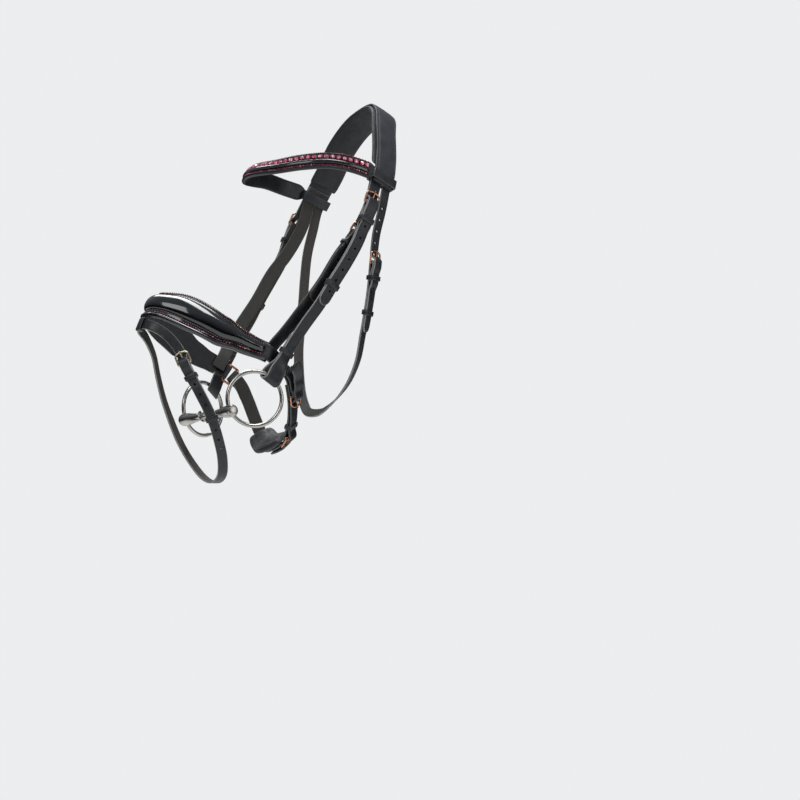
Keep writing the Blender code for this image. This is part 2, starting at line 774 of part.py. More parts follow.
TAB_LEATHER = 2.0
TAB_WIDTH = 18.0
D_FOLD = D_RING_WIRE + 0.5 + TAB_LEATHER / 2
TAB_HEIGHT = 2.5


def make_tab(side):
    """Leather tab that folds round the ring's front bar and is sewn into the noseband."""
    root, neck = NOSE_END - 10, NOSE_BAR - 6
    upper, lower = TAB_HEIGHT + 1.2, TAB_HEIGHT - 1.2
    over = [(root, upper), (neck, upper), (NOSE_BAR - 1, TAB_HEIGHT + D_FOLD), (NOSE_BAR, TAB_HEIGHT + D_FOLD)]
    under = [(NOSE_BAR, TAB_HEIGHT - D_FOLD), (neck, lower), (root, lower)]
    path = run(over)[:-1] + fold(NOSE_BAR, TAB_HEIGHT, D_FOLD, 1) + run(under)[1:]
    tab = strap(f"tab_{side}", NOSE, [(side * s, h) for s, h in path], TAB_WIDTH, thickness=TAB_LEATHER)
    PARTS.objects.unlink(tab)
    CUTTERS.objects.link(tab)
    return tab


def make_d_rings():
    _, along, across, out = NOSE.axes(NOSE_BAR)
    half = TAB_WIDTH / 2 + 0.8 + D_RING_WIRE
    end = D_RING_LENGTH
    points = [(0, -half + 1.5), (0, half - 1.5), (1.5, half), (end - 1.5, half),
              (end, half - 1.5), (end, -half + 1.5), (end - 1.5, -half), (1.5, -half)]
    matrix = placed(along, across, out, NOSE.at(NOSE_BAR, TAB_HEIGHT))
    ring = wire("noseband_ring_left", [(x, y, 0) for x, y in points], D_RING_WIRE, matrix, ROSE_METAL)
    mirrored(ring, "noseband_ring_right")


# ---------------------------------------------------------------- crank closure under the jaw

JAW_BAR = JAW.end
JAW_FOLD = D_RING_WIRE + 1.2 + LEATHER / 2
CRANK_BUCKLE = Buckle(JAW, JAW_BAR - 38, -1, CHEEK_WIDTH, 15, 22)
ROLLER_RADIUS = 3.0
ROLLER_LENGTH = 15.0
ROLLER_PLACE = 36.0
LINK_LENGTH = 12.0
LINK_PLACE = ROLLER_PLACE - LINK_LENGTH
ROLLER_HEIGHT = 3.0
ROLLER_FOLD = ROLLER_RADIUS + 0.4 + LEATHER / 2


def ring_bar_height():
    """Height of the ring's rear bar over the jaw route."""
    _, along, _, _ = NOSE.axes(NOSE_BAR)
    bar = NOSE.at(NOSE_BAR, TAB_HEIGHT) + along * D_RING_LENGTH
    point, _, _, out = JAW.axes(JAW_BAR)
    return (bar - point).dot(out)


def make_crank_chape():
    """Strap folded at both ends: round the noseband's ring and round the buckle's bar."""
    buckle = CRANK_BUCKLE
    bar = ring_bar_height()
    outer = [(JAW_BAR - 6, bar + JAW_FOLD), (JAW_BAR - 10, bar + JAW_FOLD + 1),
             (buckle.to(-9), buckle.chape_lie + 1), (buckle.to(-3), buckle.bar + WRAP),
             (buckle.place, buckle.bar + WRAP)]
    inner = [(buckle.place, buckle.base), (JAW_BAR - 12, buckle.base), (JAW_BAR, bar - JAW_FOLD)]
    path = run(outer)[:-1] + fold(buckle.place, buckle.bar, WRAP, -1)
    path += run(inner)[1:] + list(reversed(fold(JAW_BAR, bar, JAW_FOLD, 1)))[1:-1]
    chape = strap("crank_chape", JAW, path, CHEEK_WIDTH)
    bm = bmesh.new()
    buckle.cut_chape(bm)
    cut(chape, bm)
    buckle.frame("crank_buckle")
    buckle.tongue("crank_tongue")


def make_crank_strap():
    """Strap that runs down, round the roller and back up through the buckle."""
    buckle = CRANK_BUCKLE
    base, under = buckle.base, -buckle.base - 2 * GAP
    down = [(buckle.to(-14), under), (ROLLER_PLACE + 14, under), (ROLLER_PLACE, ROLLER_HEIGHT - ROLLER_FOLD)]
    wrap = list(reversed(fold(ROLLER_PLACE, ROLLER_HEIGHT, ROLLER_FOLD, -1)))
    rise = buckle.to(buckle.length - 4)
    up = [(ROLLER_PLACE, ROLLER_HEIGHT + ROLLER_FOLD), (ROLLER_PLACE + 12, base + 1), (rise, base)]
    over = [(rise, base), (buckle.to(3.5), buckle.billet_top), (buckle.to(-3), buckle.billet_top),
            (buckle.to(-16), buckle.billet_top + 4), (buckle.to(-40), buckle.billet_top + 22)]
    path = run(down)[:-1] + wrap + run(up)[1:-1] + run(over)
    crank = strap("crank_strap", JAW, path, CHEEK_WIDTH, tip=8)
    bm = bmesh.new()
    buckle.cut_billet(bm)
    drill(bm, JAW, [(ROLLER_PLACE + 17, base)])
    cut(crank, bm)
    keeper("crank_keeper", JAW, ROLLER_PLACE + 15, CHEEK_WIDTH, -LEATHER - 2 * GAP, LEATHER + 1, 5.5)


def make_roller():
    """Wire link sewn into the chin strap, with the roller turning on its far bar."""
    out = JAW.axes(LINK_PLACE + LINK_LENGTH / 2)[3]
    foot, centre = JAW.at(LINK_PLACE, ROLLER_HEIGHT), JAW.at(ROLLER_PLACE, ROLLER_HEIGHT)
    ahead = (centre - foot).normalized()
    side = out.cross(ahead).normalized()
    half, end = CHEEK_WIDTH / 2 + 0.9 + BAR_RADIUS, (centre - foot).length
    points = [(0, -half + 1.2), (0, half - 1.2), (1.2, half), (end - 1.2, half), (end, half - 1.2),
              (end, -half + 1.2), (end - 1.2, -half), (1.2, -half)]
    matrix = placed(ahead, side, ahead.cross(side), foot)
    wire("roller_link", [(x, y, 0) for x, y in points], BAR_RADIUS, matrix, ROSE_METAL)
    tube = [circle(0, 0, ROLLER_RADIUS, 14), circle(0, 0, BAR_RADIUS + 0.35, 10)]
    plate("crank_roller", tube, ROLLER_LENGTH, placed(ahead.cross(side), ahead, side, centre), ROSE_METAL)


PAD_TOP = -1.6


def make_chin():
    base = LEATHER / 2
    bar = ring_bar_height()
    lie = base + LEATHER + GAP
    left_tail = [(LINK_PLACE - 22, ROLLER_HEIGHT + 2.4), (LINK_PLACE - 8, ROLLER_HEIGHT + 2.4),
                 (LINK_PLACE, ROLLER_HEIGHT + WRAP)]
    body = [(LINK_PLACE, ROLLER_HEIGHT - WRAP), (LINK_PLACE - 10, base), (-JAW_BAR + 12, base),
            (-JAW_BAR, bar - JAW_FOLD)]
    right_tail = [(-JAW_BAR, bar + JAW_FOLD), (-JAW_BAR + 14, lie), (-JAW_BAR + 30, lie)]
    path = run(left_tail)[:-1] + fold(LINK_PLACE, ROLLER_HEIGHT, WRAP, 1) + run(body)[1:-1]
    path += list(reversed(fold(-JAW_BAR, bar, JAW_FOLD, -1))) + run(right_tail)[1:]
    strap("chin_strap", JAW, path, CHEEK_WIDTH)

    def pad(u, t, top):
        place = -8 + u * 38
        thickness = 11 - 4 * t * t - 3 * u ** 6
        return JAW.at(place, PAD_TOP if top else PAD_TOP - thickness, t * (18 - 3 * u ** 4))

    slab("chin_pad", 10, 2, pad, PADDING)


# ---------------------------------------------------------------- flash

FLASH_BUCKLE = Buckle(FLASH, FLASH.near((39, -292, -346)), -1, THIN_WIDTH, 15, 22)
FLASH_BILLET_REACH = 112
FLASH_HOLES = [26, -28, -42, -56, -88, -100]
FLASH_RUNNER_REACH = -74


def make_flash():
    buckle = FLASH_BUCKLE
    base = LEATHER / 2
    lap = FLASH.length
    around = run([(buckle.place, base), (lap + buckle.to(buckle.length - 4), base)], 10)[1:-1]
    path = buckle.chape() + around + [(s + lap, h) for s, h in buckle.billet(FLASH_BILLET_REACH)]
    flash = strap("flash_strap", FLASH, path, THIN_WIDTH, tip=10)
    bm = bmesh.new()
    buckle.cut_chape(bm)
    cut(flash, bm)
    bm = bmesh.new()
    buckle.cut_billet(bm)
    drill(bm, FLASH, buckle.holes(FLASH_HOLES), 3.0)
    cut(flash, bm)
    buckle.frame("flash_buckle")
    buckle.tongue("flash_tongue")
    lie, top = buckle.chape_lie + LEATHER / 2, buckle.billet_chape + LEATHER / 2
    keeper("flash_keeper", FLASH, buckle.to(4 - buckle.tail), THIN_WIDTH, 0, top, 5.5)
    keeper("flash_runner", FLASH, buckle.to(FLASH_RUNNER_REACH), THIN_WIDTH, 0, lie, 6)
    keeper("flash_loop", FLASH, 0, THIN_WIDTH + 0.6, -0.9, LEATHER + 0.9, 11, 1.4)


# ---------------------------------------------------------------- bit

ARM_LOOP_WIRE = 2.0
RING_BORE = 3.7
LOZENGE_HALF_LENGTH = 18.5
LOZENGE_HALF_WIDTH = 8.5
LOZENGE_THICKNESS = 5.0
LOZENGE_SNUG_HOLE = 2.6
LOZENGE_LOOSE_HOLE = 4.3


def make_bit_rings():
    turn = RING_NORMAL.to_track_quat("Z", "Y").to_euler()
    bpy.ops.mesh.primitive_torus_add(location=RING_CENTRE * MM, rotation=turn, major_segments=24,
                                     minor_segments=8, major_radius=RING_RADIUS * MM,
                                     minor_radius=RING_WIRE * MM)
    ring = bpy.context.object
    ring.name = "bit_ring_left"
    for collection in list(ring.users_collection):
        collection.objects.unlink(ring)
    PARTS.objects.link(ring)
    ring.data.materials.append(STEEL)
    bpy.context.view_layer.update()
    mirrored(ring, "bit_ring_right")


def make_mouthpiece():
    tangent = ring_tangent(RING_HOLE_ANGLE)
    hinge = Vector((0, tangent.y, tangent.z)).normalized()
    inward = Vector((-1, 0, 0))
    matrix = placed(hinge, inward.cross(hinge), inward, HOLE)
    length = HOLE.x - LINK_HALF
    neck = length - 8.5
    profile = [(0, neck), (3.4, neck), (4.2, neck - 3), (5.6, length * 0.5), (7, 14), (7.6, 8),
               (7.6, -5), (6.4, -7.8), (0, -8.4)]
    arm = turned("mouthpiece_arm_left", profile, 14, matrix, STEEL)
    bpy.context.view_layer.update()
    combine(arm, make_arm_loop(length, neck, matrix), "UNION")
    bm = bmesh.new()
    bore = placed(RING_NORMAL, tangent.cross(RING_NORMAL), tangent, HOLE)
    bmesh.ops.create_cone(bm, cap_ends=True, segments=16, radius1=RING_BORE * MM,
                          radius2=RING_BORE * MM, depth=24 * MM, matrix=bore)
    cut(arm, bm)
    mirrored(arm, "mouthpiece_arm_right")

    oval = [(x * LOZENGE_HALF_LENGTH, y * LOZENGE_HALF_WIDTH) for x, y in circle(0, 0, 1, 24)]
    holes = [circle(-LINK_HALF, 0, LOZENGE_LOOSE_HOLE, 14), circle(LINK_HALF, 0, LOZENGE_SNUG_HOLE, 12)]
    right = Vector((1, 0, 0))
    centre = Vector((0, HOLE.y, HOLE.z))
    matrix = placed(right, hinge.cross(right), hinge, centre)
    plate("mouthpiece_lozenge", [oval] + holes, LOZENGE_THICKNESS, matrix, STEEL)


def make_arm_loop(length, neck, matrix):
    """Wire loop at an arm's inner end, as a mesh that can be joined to it."""
    points = [(-2.8, neck - 2), (-5.7, neck + 2.5), (-5.7, length - 2.5), (-4, length), (4, length),
              (5.7, length - 2.5), (5.7, neck + 2.5), (2.8, neck - 2)]
    ring = wire("arm_loop", [(x, 0, z) for x, z in points], ARM_LOOP_WIRE, matrix, STEEL)
    graph = bpy.context.evaluated_depsgraph_get()
    mesh = bpy.data.meshes.new_from_object(ring.evaluated_get(graph))
    bm = bmesh.new()
    bm.from_mesh(mesh)
    bmesh.ops.remove_doubles(bm, verts=bm.verts, dist=1e-6)
    bm.to_mesh(mesh)
    bm.free()
    bpy.data.objects.remove(ring)
    loop = add_object("arm_loop_mesh", mesh, None, CUTTERS)
    loop.matrix_world = matrix
    return loop


make_crown()
make_cheek()
make_throat()
make_hanger()
make_browband()
make_noseband()
make_d_rings()
make_crank_chape()
make_crank_strap()
make_roller()
make_chin()
make_flash()
make_bit_rings()
make_mouthpiece()
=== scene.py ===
# %% [markdown]
# # A snaffle bridle, finished for the eye
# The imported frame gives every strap, buckle and ring its place. It is loaded first and its
# box is kept, so that the finished model can be compared with it at the end.

# %% Load the frame
import bisect
import functools
import json
import math

import bpy
from mathutils import Matrix, Vector, geometry

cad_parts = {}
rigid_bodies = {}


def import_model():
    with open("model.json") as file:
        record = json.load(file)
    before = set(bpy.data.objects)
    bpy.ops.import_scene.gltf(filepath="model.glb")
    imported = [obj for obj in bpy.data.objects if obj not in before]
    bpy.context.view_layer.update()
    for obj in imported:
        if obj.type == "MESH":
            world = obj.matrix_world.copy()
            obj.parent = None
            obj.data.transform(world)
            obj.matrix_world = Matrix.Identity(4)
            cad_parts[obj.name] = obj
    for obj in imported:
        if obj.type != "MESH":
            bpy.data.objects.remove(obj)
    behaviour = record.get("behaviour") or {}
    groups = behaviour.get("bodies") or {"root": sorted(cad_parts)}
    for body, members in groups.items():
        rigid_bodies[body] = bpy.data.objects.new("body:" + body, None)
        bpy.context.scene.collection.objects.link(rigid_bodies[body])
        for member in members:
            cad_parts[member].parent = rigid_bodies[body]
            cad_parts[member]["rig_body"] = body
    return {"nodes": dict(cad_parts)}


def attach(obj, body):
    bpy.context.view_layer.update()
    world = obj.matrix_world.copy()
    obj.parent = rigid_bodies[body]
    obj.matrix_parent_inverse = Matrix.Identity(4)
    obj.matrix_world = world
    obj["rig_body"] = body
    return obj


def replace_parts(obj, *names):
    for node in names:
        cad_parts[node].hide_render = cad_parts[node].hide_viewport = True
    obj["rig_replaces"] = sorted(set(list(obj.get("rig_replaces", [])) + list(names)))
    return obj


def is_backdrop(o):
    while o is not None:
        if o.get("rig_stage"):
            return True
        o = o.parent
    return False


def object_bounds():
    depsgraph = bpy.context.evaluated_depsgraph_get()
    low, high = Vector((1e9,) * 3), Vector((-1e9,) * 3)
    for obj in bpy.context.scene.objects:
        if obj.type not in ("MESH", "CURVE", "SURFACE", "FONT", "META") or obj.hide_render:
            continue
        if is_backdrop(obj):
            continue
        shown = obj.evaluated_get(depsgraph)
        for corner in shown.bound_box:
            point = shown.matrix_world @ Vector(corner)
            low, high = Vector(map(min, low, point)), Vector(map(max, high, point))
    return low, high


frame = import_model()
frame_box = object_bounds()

MM = 0.001
ROOT = "bridle"
nodes = frame["nodes"]
print("CAD nodes", len(nodes))

# %% [markdown]
# ## Small helpers
# Blender's operators act on whatever is selected, so each step starts by clearing the
# selection. Modifiers are applied at once, which leaves plain meshes that are easy to read.

# %% Selecting and applying


def clear_selection():
    if bpy.context.object and bpy.context.object.mode != "OBJECT":
        bpy.ops.object.mode_set(mode="OBJECT")
    bpy.ops.object.select_all(action="DESELECT")


def activate(piece):
    clear_selection()
    piece.select_set(True)
    bpy.context.view_layer.objects.active = piece


def apply_modifiers(piece):
    activate(piece)
    for modifier in list(piece.modifiers):
        bpy.ops.object.modifier_apply(modifier=modifier.name)


def settle(piece, matrix=None):
    """Puts a piece's place into its mesh, so that its object sits at the origin."""
    piece.data.transform(matrix @ piece.matrix_world if matrix else piece.matrix_world)
    piece.matrix_world = Matrix.Identity(4)


def solidify(piece, thickness):
    wall = piece.modifiers.new("wall", "SOLIDIFY")
    wall.thickness, wall.offset, wall.use_even_offset = thickness, 0, True
    apply_modifiers(piece)


def bevel(piece, width, segments=2, angle=50):
    edge = piece.modifiers.new("edge", "BEVEL")
    edge.width, edge.segments, edge.angle_limit = width, segments, math.radians(angle)
    apply_modifiers(piece)


def cut_out(piece, cutter):
    hole = piece.modifiers.new("hole", "BOOLEAN")
    hole.operation, hole.object, hole.solver = "DIFFERENCE", cutter, "EXACT"
    apply_modifiers(piece)
    bpy.data.objects.remove(cutter)


def cylinder(radius, depth, vertices=32, **more):
    clear_selection()
    bpy.ops.mesh.primitive_cylinder_add(vertices=vertices, radius=radius, depth=depth, **more)
    return bpy.context.object


def apply_scale():
    bpy.ops.object.transform_apply(location=True, rotation=True, scale=True)


def linked(name, data):
    """A new object in the scene, holding the given mesh, curve, light or camera."""
    piece = bpy.data.objects.new(name, data)
    bpy.context.scene.collection.objects.link(piece)
    return piece


def finished(piece, name, material, body=ROOT, instead=(), angle=40):
    """Names a piece, shades it, and ties it to its body and to the nodes it stands for."""
    piece.name = piece.data.name = name
    piece.data.materials.clear()
    piece.data.materials.append(material)
    activate(piece)
    bpy.ops.object.shade_smooth_by_angle(angle=math.radians(angle))
    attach(piece, body)
    if instead:
        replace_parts(piece, *instead)
    print(name, "on", body, [round(side / MM) for side in piece.dimensions], "mm")
    return piece


# %% [markdown]
# ## Colours and nodes
# Colours are written as they look on screen (sRGB), and Blender's shaders want linear light,
# so one function converts them. Another adds a node of any kind: it fills the node's inputs in
# their order, with plain values or with what other nodes give, and hands back one output.

# %% Colours and nodes
OBJECT_SPACE = "Object"
USUAL_SETTINGS = {"Mix": {"data_type": "RGBA"}}


def linear(code):
    """Linear RGBA from a hex sRGB colour."""
    values = [int(code[i:i + 2], 16) / 255 for i in (1, 3, 5)]
    return [c / 12.92 if c <= 0.04045 else ((c + 0.055) / 1.055) ** 2.4 for c in values] + [1.0]


def feed(socket, value):
    """Sets an input to a plain value, or links another node's output into it."""
    if isinstance(value, bpy.types.NodeSocket):
        socket.id_data.links.new(value, socket)
    elif value is not None:
        socket.default_value = value


def add_node(tree, kind, *values, take=None, **settings):
    made = tree.nodes.new("ShaderNode" + kind)
    for key, value in {**USUAL_SETTINGS.get(kind, {}), **settings}.items():
        setattr(made, key, value)
    for socket, value in zip([s for s in made.inputs if s.enabled], values):
        feed(socket, value)
    live = [s for s in made.outputs if s.enabled]
    return next((s for s in live if s.name == take), live[0])


def new_material(name):
    """A material, a function that adds nodes to it, and one that fills its shader's inputs."""
    material = bpy.data.materials.new(name)
    material.use_nodes = True
    tree = material.node_tree
    shader = tree.nodes["Principled BSDF"]

    def dress(inputs):
        for key, value in inputs.items():
            feed(shader.inputs[key], value)

    return material, functools.partial(add_node, tree), dress


def across(millimetres):
    """The scale of a pattern whose features are so many millimetres across."""
    return 1000 / millimetres


# %% [markdown]
# ## Bridle leather
# The straps are vegetable-tanned cowhide, dyed charcoal black, waxed on the grain side and
# left rough on the flesh side. A hot creaser has pressed a line along both edges, darkened here
# with painted shade in its groove, and the cut edges are painted a paler grey as a painted
# highlight, with a little wear rubbed pale beside them. Each strap carries a UV map that says how
# far along it a point lies and how far in from the edge, both in millimetres, so the crease and
# the edge follow the strap wherever it bends. Flesh-side distances are negative.

# %% Bridle leather
BENCH_MAP = "bench"


def bridle_leather(name, face, worn, edge, flesh, roughness, crease=1.7):
    material, node, dress = new_material(name)
    place = node("TexCoord", take=OBJECT_SPACE)
    inset = node("SeparateXYZ", node("UVMap", uv_map=BENCH_MAP), take="Y")
    depth = node("Math", inset, operation="ABSOLUTE")
    edge_highlight_share = node("MapRange", depth, 0.25, 0.6, 1, 0)
    on_flesh = node("MapRange", inset, -0.5, -0.3, 1, 0)
    from_crease = node("Math", node("Math", inset, crease, operation="SUBTRACT"), operation="ABSOLUTE")
    groove = node("MapRange", from_crease, 0.1, 0.5, 1, 0)
    # the colour: blotches from the dye, edges rubbed by hands, and painted shade along the creaser's groove
    clouds = node("TexNoise", place, across(14), 3)
    patches = node("MapRange", node("TexNoise", place, across(6), 3), 0.4, 0.7, 0, 1)
    rubbed = node("Math", node("MapRange", depth, 0.6, 3.5, 1, 0), patches, operation="MULTIPLY")
    colour = node("Mix", node("MapRange", clouds, 0.3, 0.7, 0, 1), linear(face), linear(worn))
    # wear rubbed pale near the edges in the edge colour, then painted shade along the crease's groove in near
    # black
    for share, strength, tint in ((rubbed, 0.12, edge), (groove, 0.75, "#0c0c0e")):
        colour = node("Mix", node("Math", share, strength, operation="MULTIPLY"), colour, linear(tint))
    # the flesh side's own colour, then the cut edges painted paler as a painted highlight
    for share, tint in ((on_flesh, flesh), (edge_highlight_share, edge)):
        colour = node("Mix", share, colour, linear(tint))
    # the finish: duller where the dye is thick, and much duller on the flesh side
    rough = node("MapRange", clouds, 0.25, 0.75, roughness - 0.07, roughness + 0.08)
    rough = node("Math", rough, node("Math", on_flesh, 0.3, operation="MULTIPLY"), operation="ADD")
    # the relief: pores about 1 mm apart, a little coarser than life so that they show, then
    # soft folds 3.5 mm apart, then the pressed line
    grain = node("TexVoronoi", place, across(1.1), feature="SMOOTH_F1")
    relief = node("Bump", 0.5, 0.18 * MM, None, grain)
    relief = node("Bump", 0.3, 0.25 * MM, None, node("TexNoise", place, across(3.5), 3), relief)
    level = node("Math", 1.0, groove, operation="SUBTRACT")
    dress({"Base Color": colour, "Roughness": rough, "Specular IOR Level": 0.5,
           "Normal": node("Bump", 0.8, 0.35 * MM, None, level, relief)})
    return material


# The fourth colour of each is painted on the cut edges: a painted highlight on the straps; the crown's never
# shows, as its map has no cut edge.
STRAP = bridle_leather("waxed bridle leather", "#1c1d20", "#27282c", "#8a8986", "#3b3835", 0.42)
CROWN_FACE = bridle_leather("crown bridle leather", "#27282c", "#323338", "#17171a", "#3b3835", 0.46, 3.4)
DARK_STRAP = bridle_leather("black bridle leather", "#101013", "#18181b", "#4a4a49", "#2f2d2a", 0.38)

# %% [markdown]
# ## Patent leather, lining, thread
# Patent leather is covered in a thick clear lacquer: nearly black, mirror-like, with slow
# waves where the hide under it moves. The lining is soft nappa with a pebbled grain. Thread
# is waxed linen, two plies twisted together.

# %% Patent leather, lining, thread


def patent_leather():
    material, node, dress = new_material("black patent leather")
    place = node("TexCoord", take=OBJECT_SPACE)
    # slow waves 16 mm apart under fine ones 2.2 mm apart
    waves = node("Bump", 0.3, 0.8 * MM, None, node("TexNoise", place, across(16), 1))
    dress({"Base Color": linear("#050507"), "Coat Weight": 1.0, "Coat Roughness": 0.03,
           "Roughness": node("MapRange", node("TexNoise", place, across(20), 3), 0.3, 0.7, 0.1, 0.2),
           "Normal": node("Bump", 0.12, 0.06 * MM, None, node("TexNoise", place, across(2.2), 2), waves)})
    return material


def nappa_lining():
    material, node, dress = new_material("soft nappa lining")
    place = node("TexCoord", take=OBJECT_SPACE)
    # pebbles 1.6 mm across, in soft creases 7 mm apart
    pebbles = node("TexVoronoi", place, across(1.6), feature="SMOOTH_F1")
    creases = node("Bump", 0.4, 0.5 * MM, None, node("TexNoise", place, across(7), 2))
    # the pebbles' hollows are painted darker, as painted shade
    hollow = node("MapRange", pebbles, 0.1, 0.6, 0, 1)
    dress({"Base Color": node("Mix", hollow, linear("#101012"), linear("#1d1d20")),
           "Roughness": node("MapRange", node("TexNoise", place, across(12), 3), 0.3, 0.7, 0.5, 0.68),
           "Sheen Weight": 0.15,
           "Normal": node("Bump", 0.5, 0.2 * MM, None, pebbles, creases)})
    return material


def linen_thread(name, light, dark):
    material, node, dress = new_material(name)
    # plies lie about 0.5 mm apart along the thread
    twist = node("TexWave", node("TexCoord", take=OBJECT_SPACE), 330.0, 1.0, take="Fac",
                 bands_direction="DIAGONAL")
    # the grooves between the plies are painted darker, as painted shade
    dress({"Base Color": node("Mix", twist, linear(dark), linear(light)), "Roughness": 0.7,
           "Normal": node("Bump", 0.6, 0.1 * MM, None, twist)})
    return material


PATENT = patent_leather()
LINING = nappa_lining()
PALE_THREAD = linen_thread("pale waxed linen", "#94948f", "#5d5d5a")
DARK_THREAD = linen_thread("black waxed linen", "#26262a", "#0c0c0e")

# %% [markdown]
# ## Metals and stones
# The buckles are cast brass plated with rose gold, tumbled smooth: bright on the worn tops,
# a little duller in the hollows. The bit is polished stainless steel with fine rubbing marks.
# The stones are foil-backed crystal, so they throw light back like tinted mirrors.

# %% Metals and stones


def plated_metal(name, bright, dull, low, high):
    material, node, dress = new_material(name)
    place = node("TexCoord", take=OBJECT_SPACE)
    cloud = node("MapRange", node("TexNoise", place, across(18), 3), 0.3, 0.7, 0, 1)
    # hairline rubbing marks, drawn about 0.6 mm apart
    along_marks = node("Mapping", place, None, None, (1, 1, 0.12))
    dress({"Metallic": 1.0, "Base Color": node("Mix", cloud, linear(bright), linear(dull)),
           "Roughness": node("MapRange", node("TexNoise", place, across(12), 3), 0.3, 0.7, low, high),
           "Normal": node("Bump", 0.03, 0.03 * MM, None, node("TexNoise", along_marks, across(0.6), 2))})
    return material


def foil_crystal(name, light, deep, flash):
    material, node, dress = new_material(name)
    place = node("TexCoord", take=OBJECT_SPACE)
    # facets about 2 mm across, a few of them catching the light
    tint = node("SeparateColor", node("TexVoronoi", place, 520.0, take="Color"))
    colour = node("Mix", node("MapRange", tint, 0.15, 0.75, 0, 1), linear(deep), linear(light))
    glint = node("MapRange", tint, 0.8, 0.95, 0, 1)
    dress({"Metallic": 0.45, "Coat Weight": 1.0, "Coat Roughness": 0.02, "Roughness": 0.12,
           "Base Color": node("Mix", glint, colour, linear(flash)),
           "Normal": node("Bump", 0.3, 0.3 * MM, None, node("TexVoronoi", place, 520.0))})
    return material


ROSE_GOLD = plated_metal("rose gold plated brass", "#d6a283", "#b67f62", 0.18, 0.32)
# a paler, greyer copy of the buckles' plating, used only on the flash buckle: its paleness is a painted
# reflection
REFLECTION_PALED_BRASS = plated_metal("champagne plated brass", "#ddd2bd", "#b8a98e", 0.16, 0.3)
STEEL = plated_metal("polished stainless steel", "#bdbab4", "#a5a29c", 0.2, 0.3)
CUP_METAL = plated_metal("blackened setting metal", "#4a4044", "#2c272a", 0.25, 0.4)
ROSE_STONE = foil_crystal("rose crystal", "#ee86a0", "#b13a5b", "#ffeef2")
SMALL_STONE = foil_crystal("small rose crystal", "#d65f7c", "#8a2340", "#f7c9d4")
DEEP_STONE = foil_crystal("dark red crystal", "#b8405a", "#5d1427", "#e8a9b6")
COPPER_STONE = foil_crystal("copper crystal", "#b9796c", "#6b3a33", "#e2b8ac")

# %% [markdown]
# ## Routes over the head
# Every strap follows a smooth line over the horse's head. A route turns a distance along the
# strap, a height above the skin and a step to the side into a place in space. These are the
# routes that the frame's own straps follow.

# %% Routes
LEATHER = 2.4
GAP = 0.4
CHEEK_WIDTH = 16.0
THIN_WIDTH = 12.5
BAR_RADIUS = 1.25
WRAP = BAR_RADIUS + 0.3 + LEATHER / 2
HEAD_TOP = Vector((0, -60, -110))
HEAD_END = Vector((0, -237, -336))
CHEEK_FLATNESS = 1.8


def heading(before, here, after):
    back, ahead = here - before, after - here
    if back.length < 1e-6:
        return ahead.normalized()
    if ahead.length < 1e-6:
        return back.normalized()
    return (back.normalized() * ahead.length + ahead.normalized() * back.length).normalized()


def smooth_line(points, closed, steps=12):
    count = len(points)
    line = []
    for i in range(count if closed else count - 1):
        start, end = points[i], points[(i + 1) % count]
        before = points[i - 1] if closed or i > 0 else start
        after = points[(i + 2) % count] if closed or i + 2 < count else end
        reach = (end - start).length / 3
        lead = start + heading(before, start, end) * reach
        trail = end - heading(start, end, after) * reach
        line += geometry.interpolate_bezier(start, lead, trail, end, steps + 1)[:-1]
    line.append(points[0] if closed else points[-1])
    return line


def outward(point, along):
    axis = HEAD_END - HEAD_TOP
    share = min(max((point - HEAD_TOP).dot(axis) / axis.length_squared, 0), 1)
    away = point - (HEAD_TOP + axis * share)
    away.x *= CHEEK_FLATNESS
    return (away - along * away.dot(along)).normalized()


def stage_of(reach, place):
    """Which stretch of a line a place lies on, and how far along that stretch it is."""
    index = min(max(bisect.bisect_left(reach, place) - 1, 0), len(reach) - 2)
    share = (place - reach[index]) / (reach[index + 1] - reach[index])
    return index, share, min(max(share, 0), 1)


def running_length(points, gap=math.dist):
    reach = [0.0]
    for a, b in zip(points, points[1:]):
        reach.append(reach[-1] + gap(a, b))
    return reach


class Route:
    """A smooth line on the head; places on it are distances in millimetres."""

    def __init__(self, waypoints, symmetric=False, closed=False):
        points = [Vector(p) for p in waypoints]
        other = [Vector((-p.x, p.y, p.z)) for p in reversed(points)]
        if symmetric:
            points = other[:-1] + points
        if closed:
            points = points + other[1:-1]
        self.closed = closed
        self.line = smooth_line(points, closed)
        self.reach = running_length(self.line, lambda a, b: (b - a).length)
        self.length = self.reach[-1]
        self.zero = self.length / 2 if symmetric else 0.0
        self.end = self.length - self.zero

    def joint(self, index):
        last = len(self.line) - 1
        if self.closed:
            before, after = self.line[(index - 1) % last], self.line[(index + 1) % last]
        else:
            before, after = self.line[max(index - 1, 0)], self.line[min(index + 1, last)]
        return (after - before).normalized()

    def axes(self, distance):
        """Point, direction along, direction across and direction out, at a distance."""
        place = distance + self.zero
        if self.closed:
            place %= self.length
        index, share, blend = stage_of(self.reach, place)
        a, b = self.line[index], self.line[index + 1]
        along = self.joint(index).lerp(self.joint(index + 1), blend).normalized()
        point = a + (b - a) * share
        out = outward(point, along)
        return point, along, out.cross(along), out

    def at(self, distance, height=0.0, sideways=0.0):
        point, _, across, out = self.axes(distance)
        return point + out * height + across * sideways

    def near(self, target):
        target = Vector(target)
        index = min(range(len(self.line)), key=lambda i: (self.line[i] - target).length)
        return self.reach[index] - self.zero


def placed(x_axis, y_axis, z_axis, origin):
    """Matrix with the given axes and an origin in millimetres, for a mesh in millimetres."""
    columns = [(v * MM).to_4d() for v in (x_axis, y_axis, z_axis)]
    for column in columns:
        column.w = 0
    return Matrix(columns + [(origin * MM).to_4d()]).transposed()


# %% [markdown]
# ## The bridle's own routes
# The crown goes over the poll, and each strap that is sewn under it starts from a place on the
# crown's route. The waypoints are given a few to each bend, in millimetres from the
# poll: across to the horse's left, back and up.

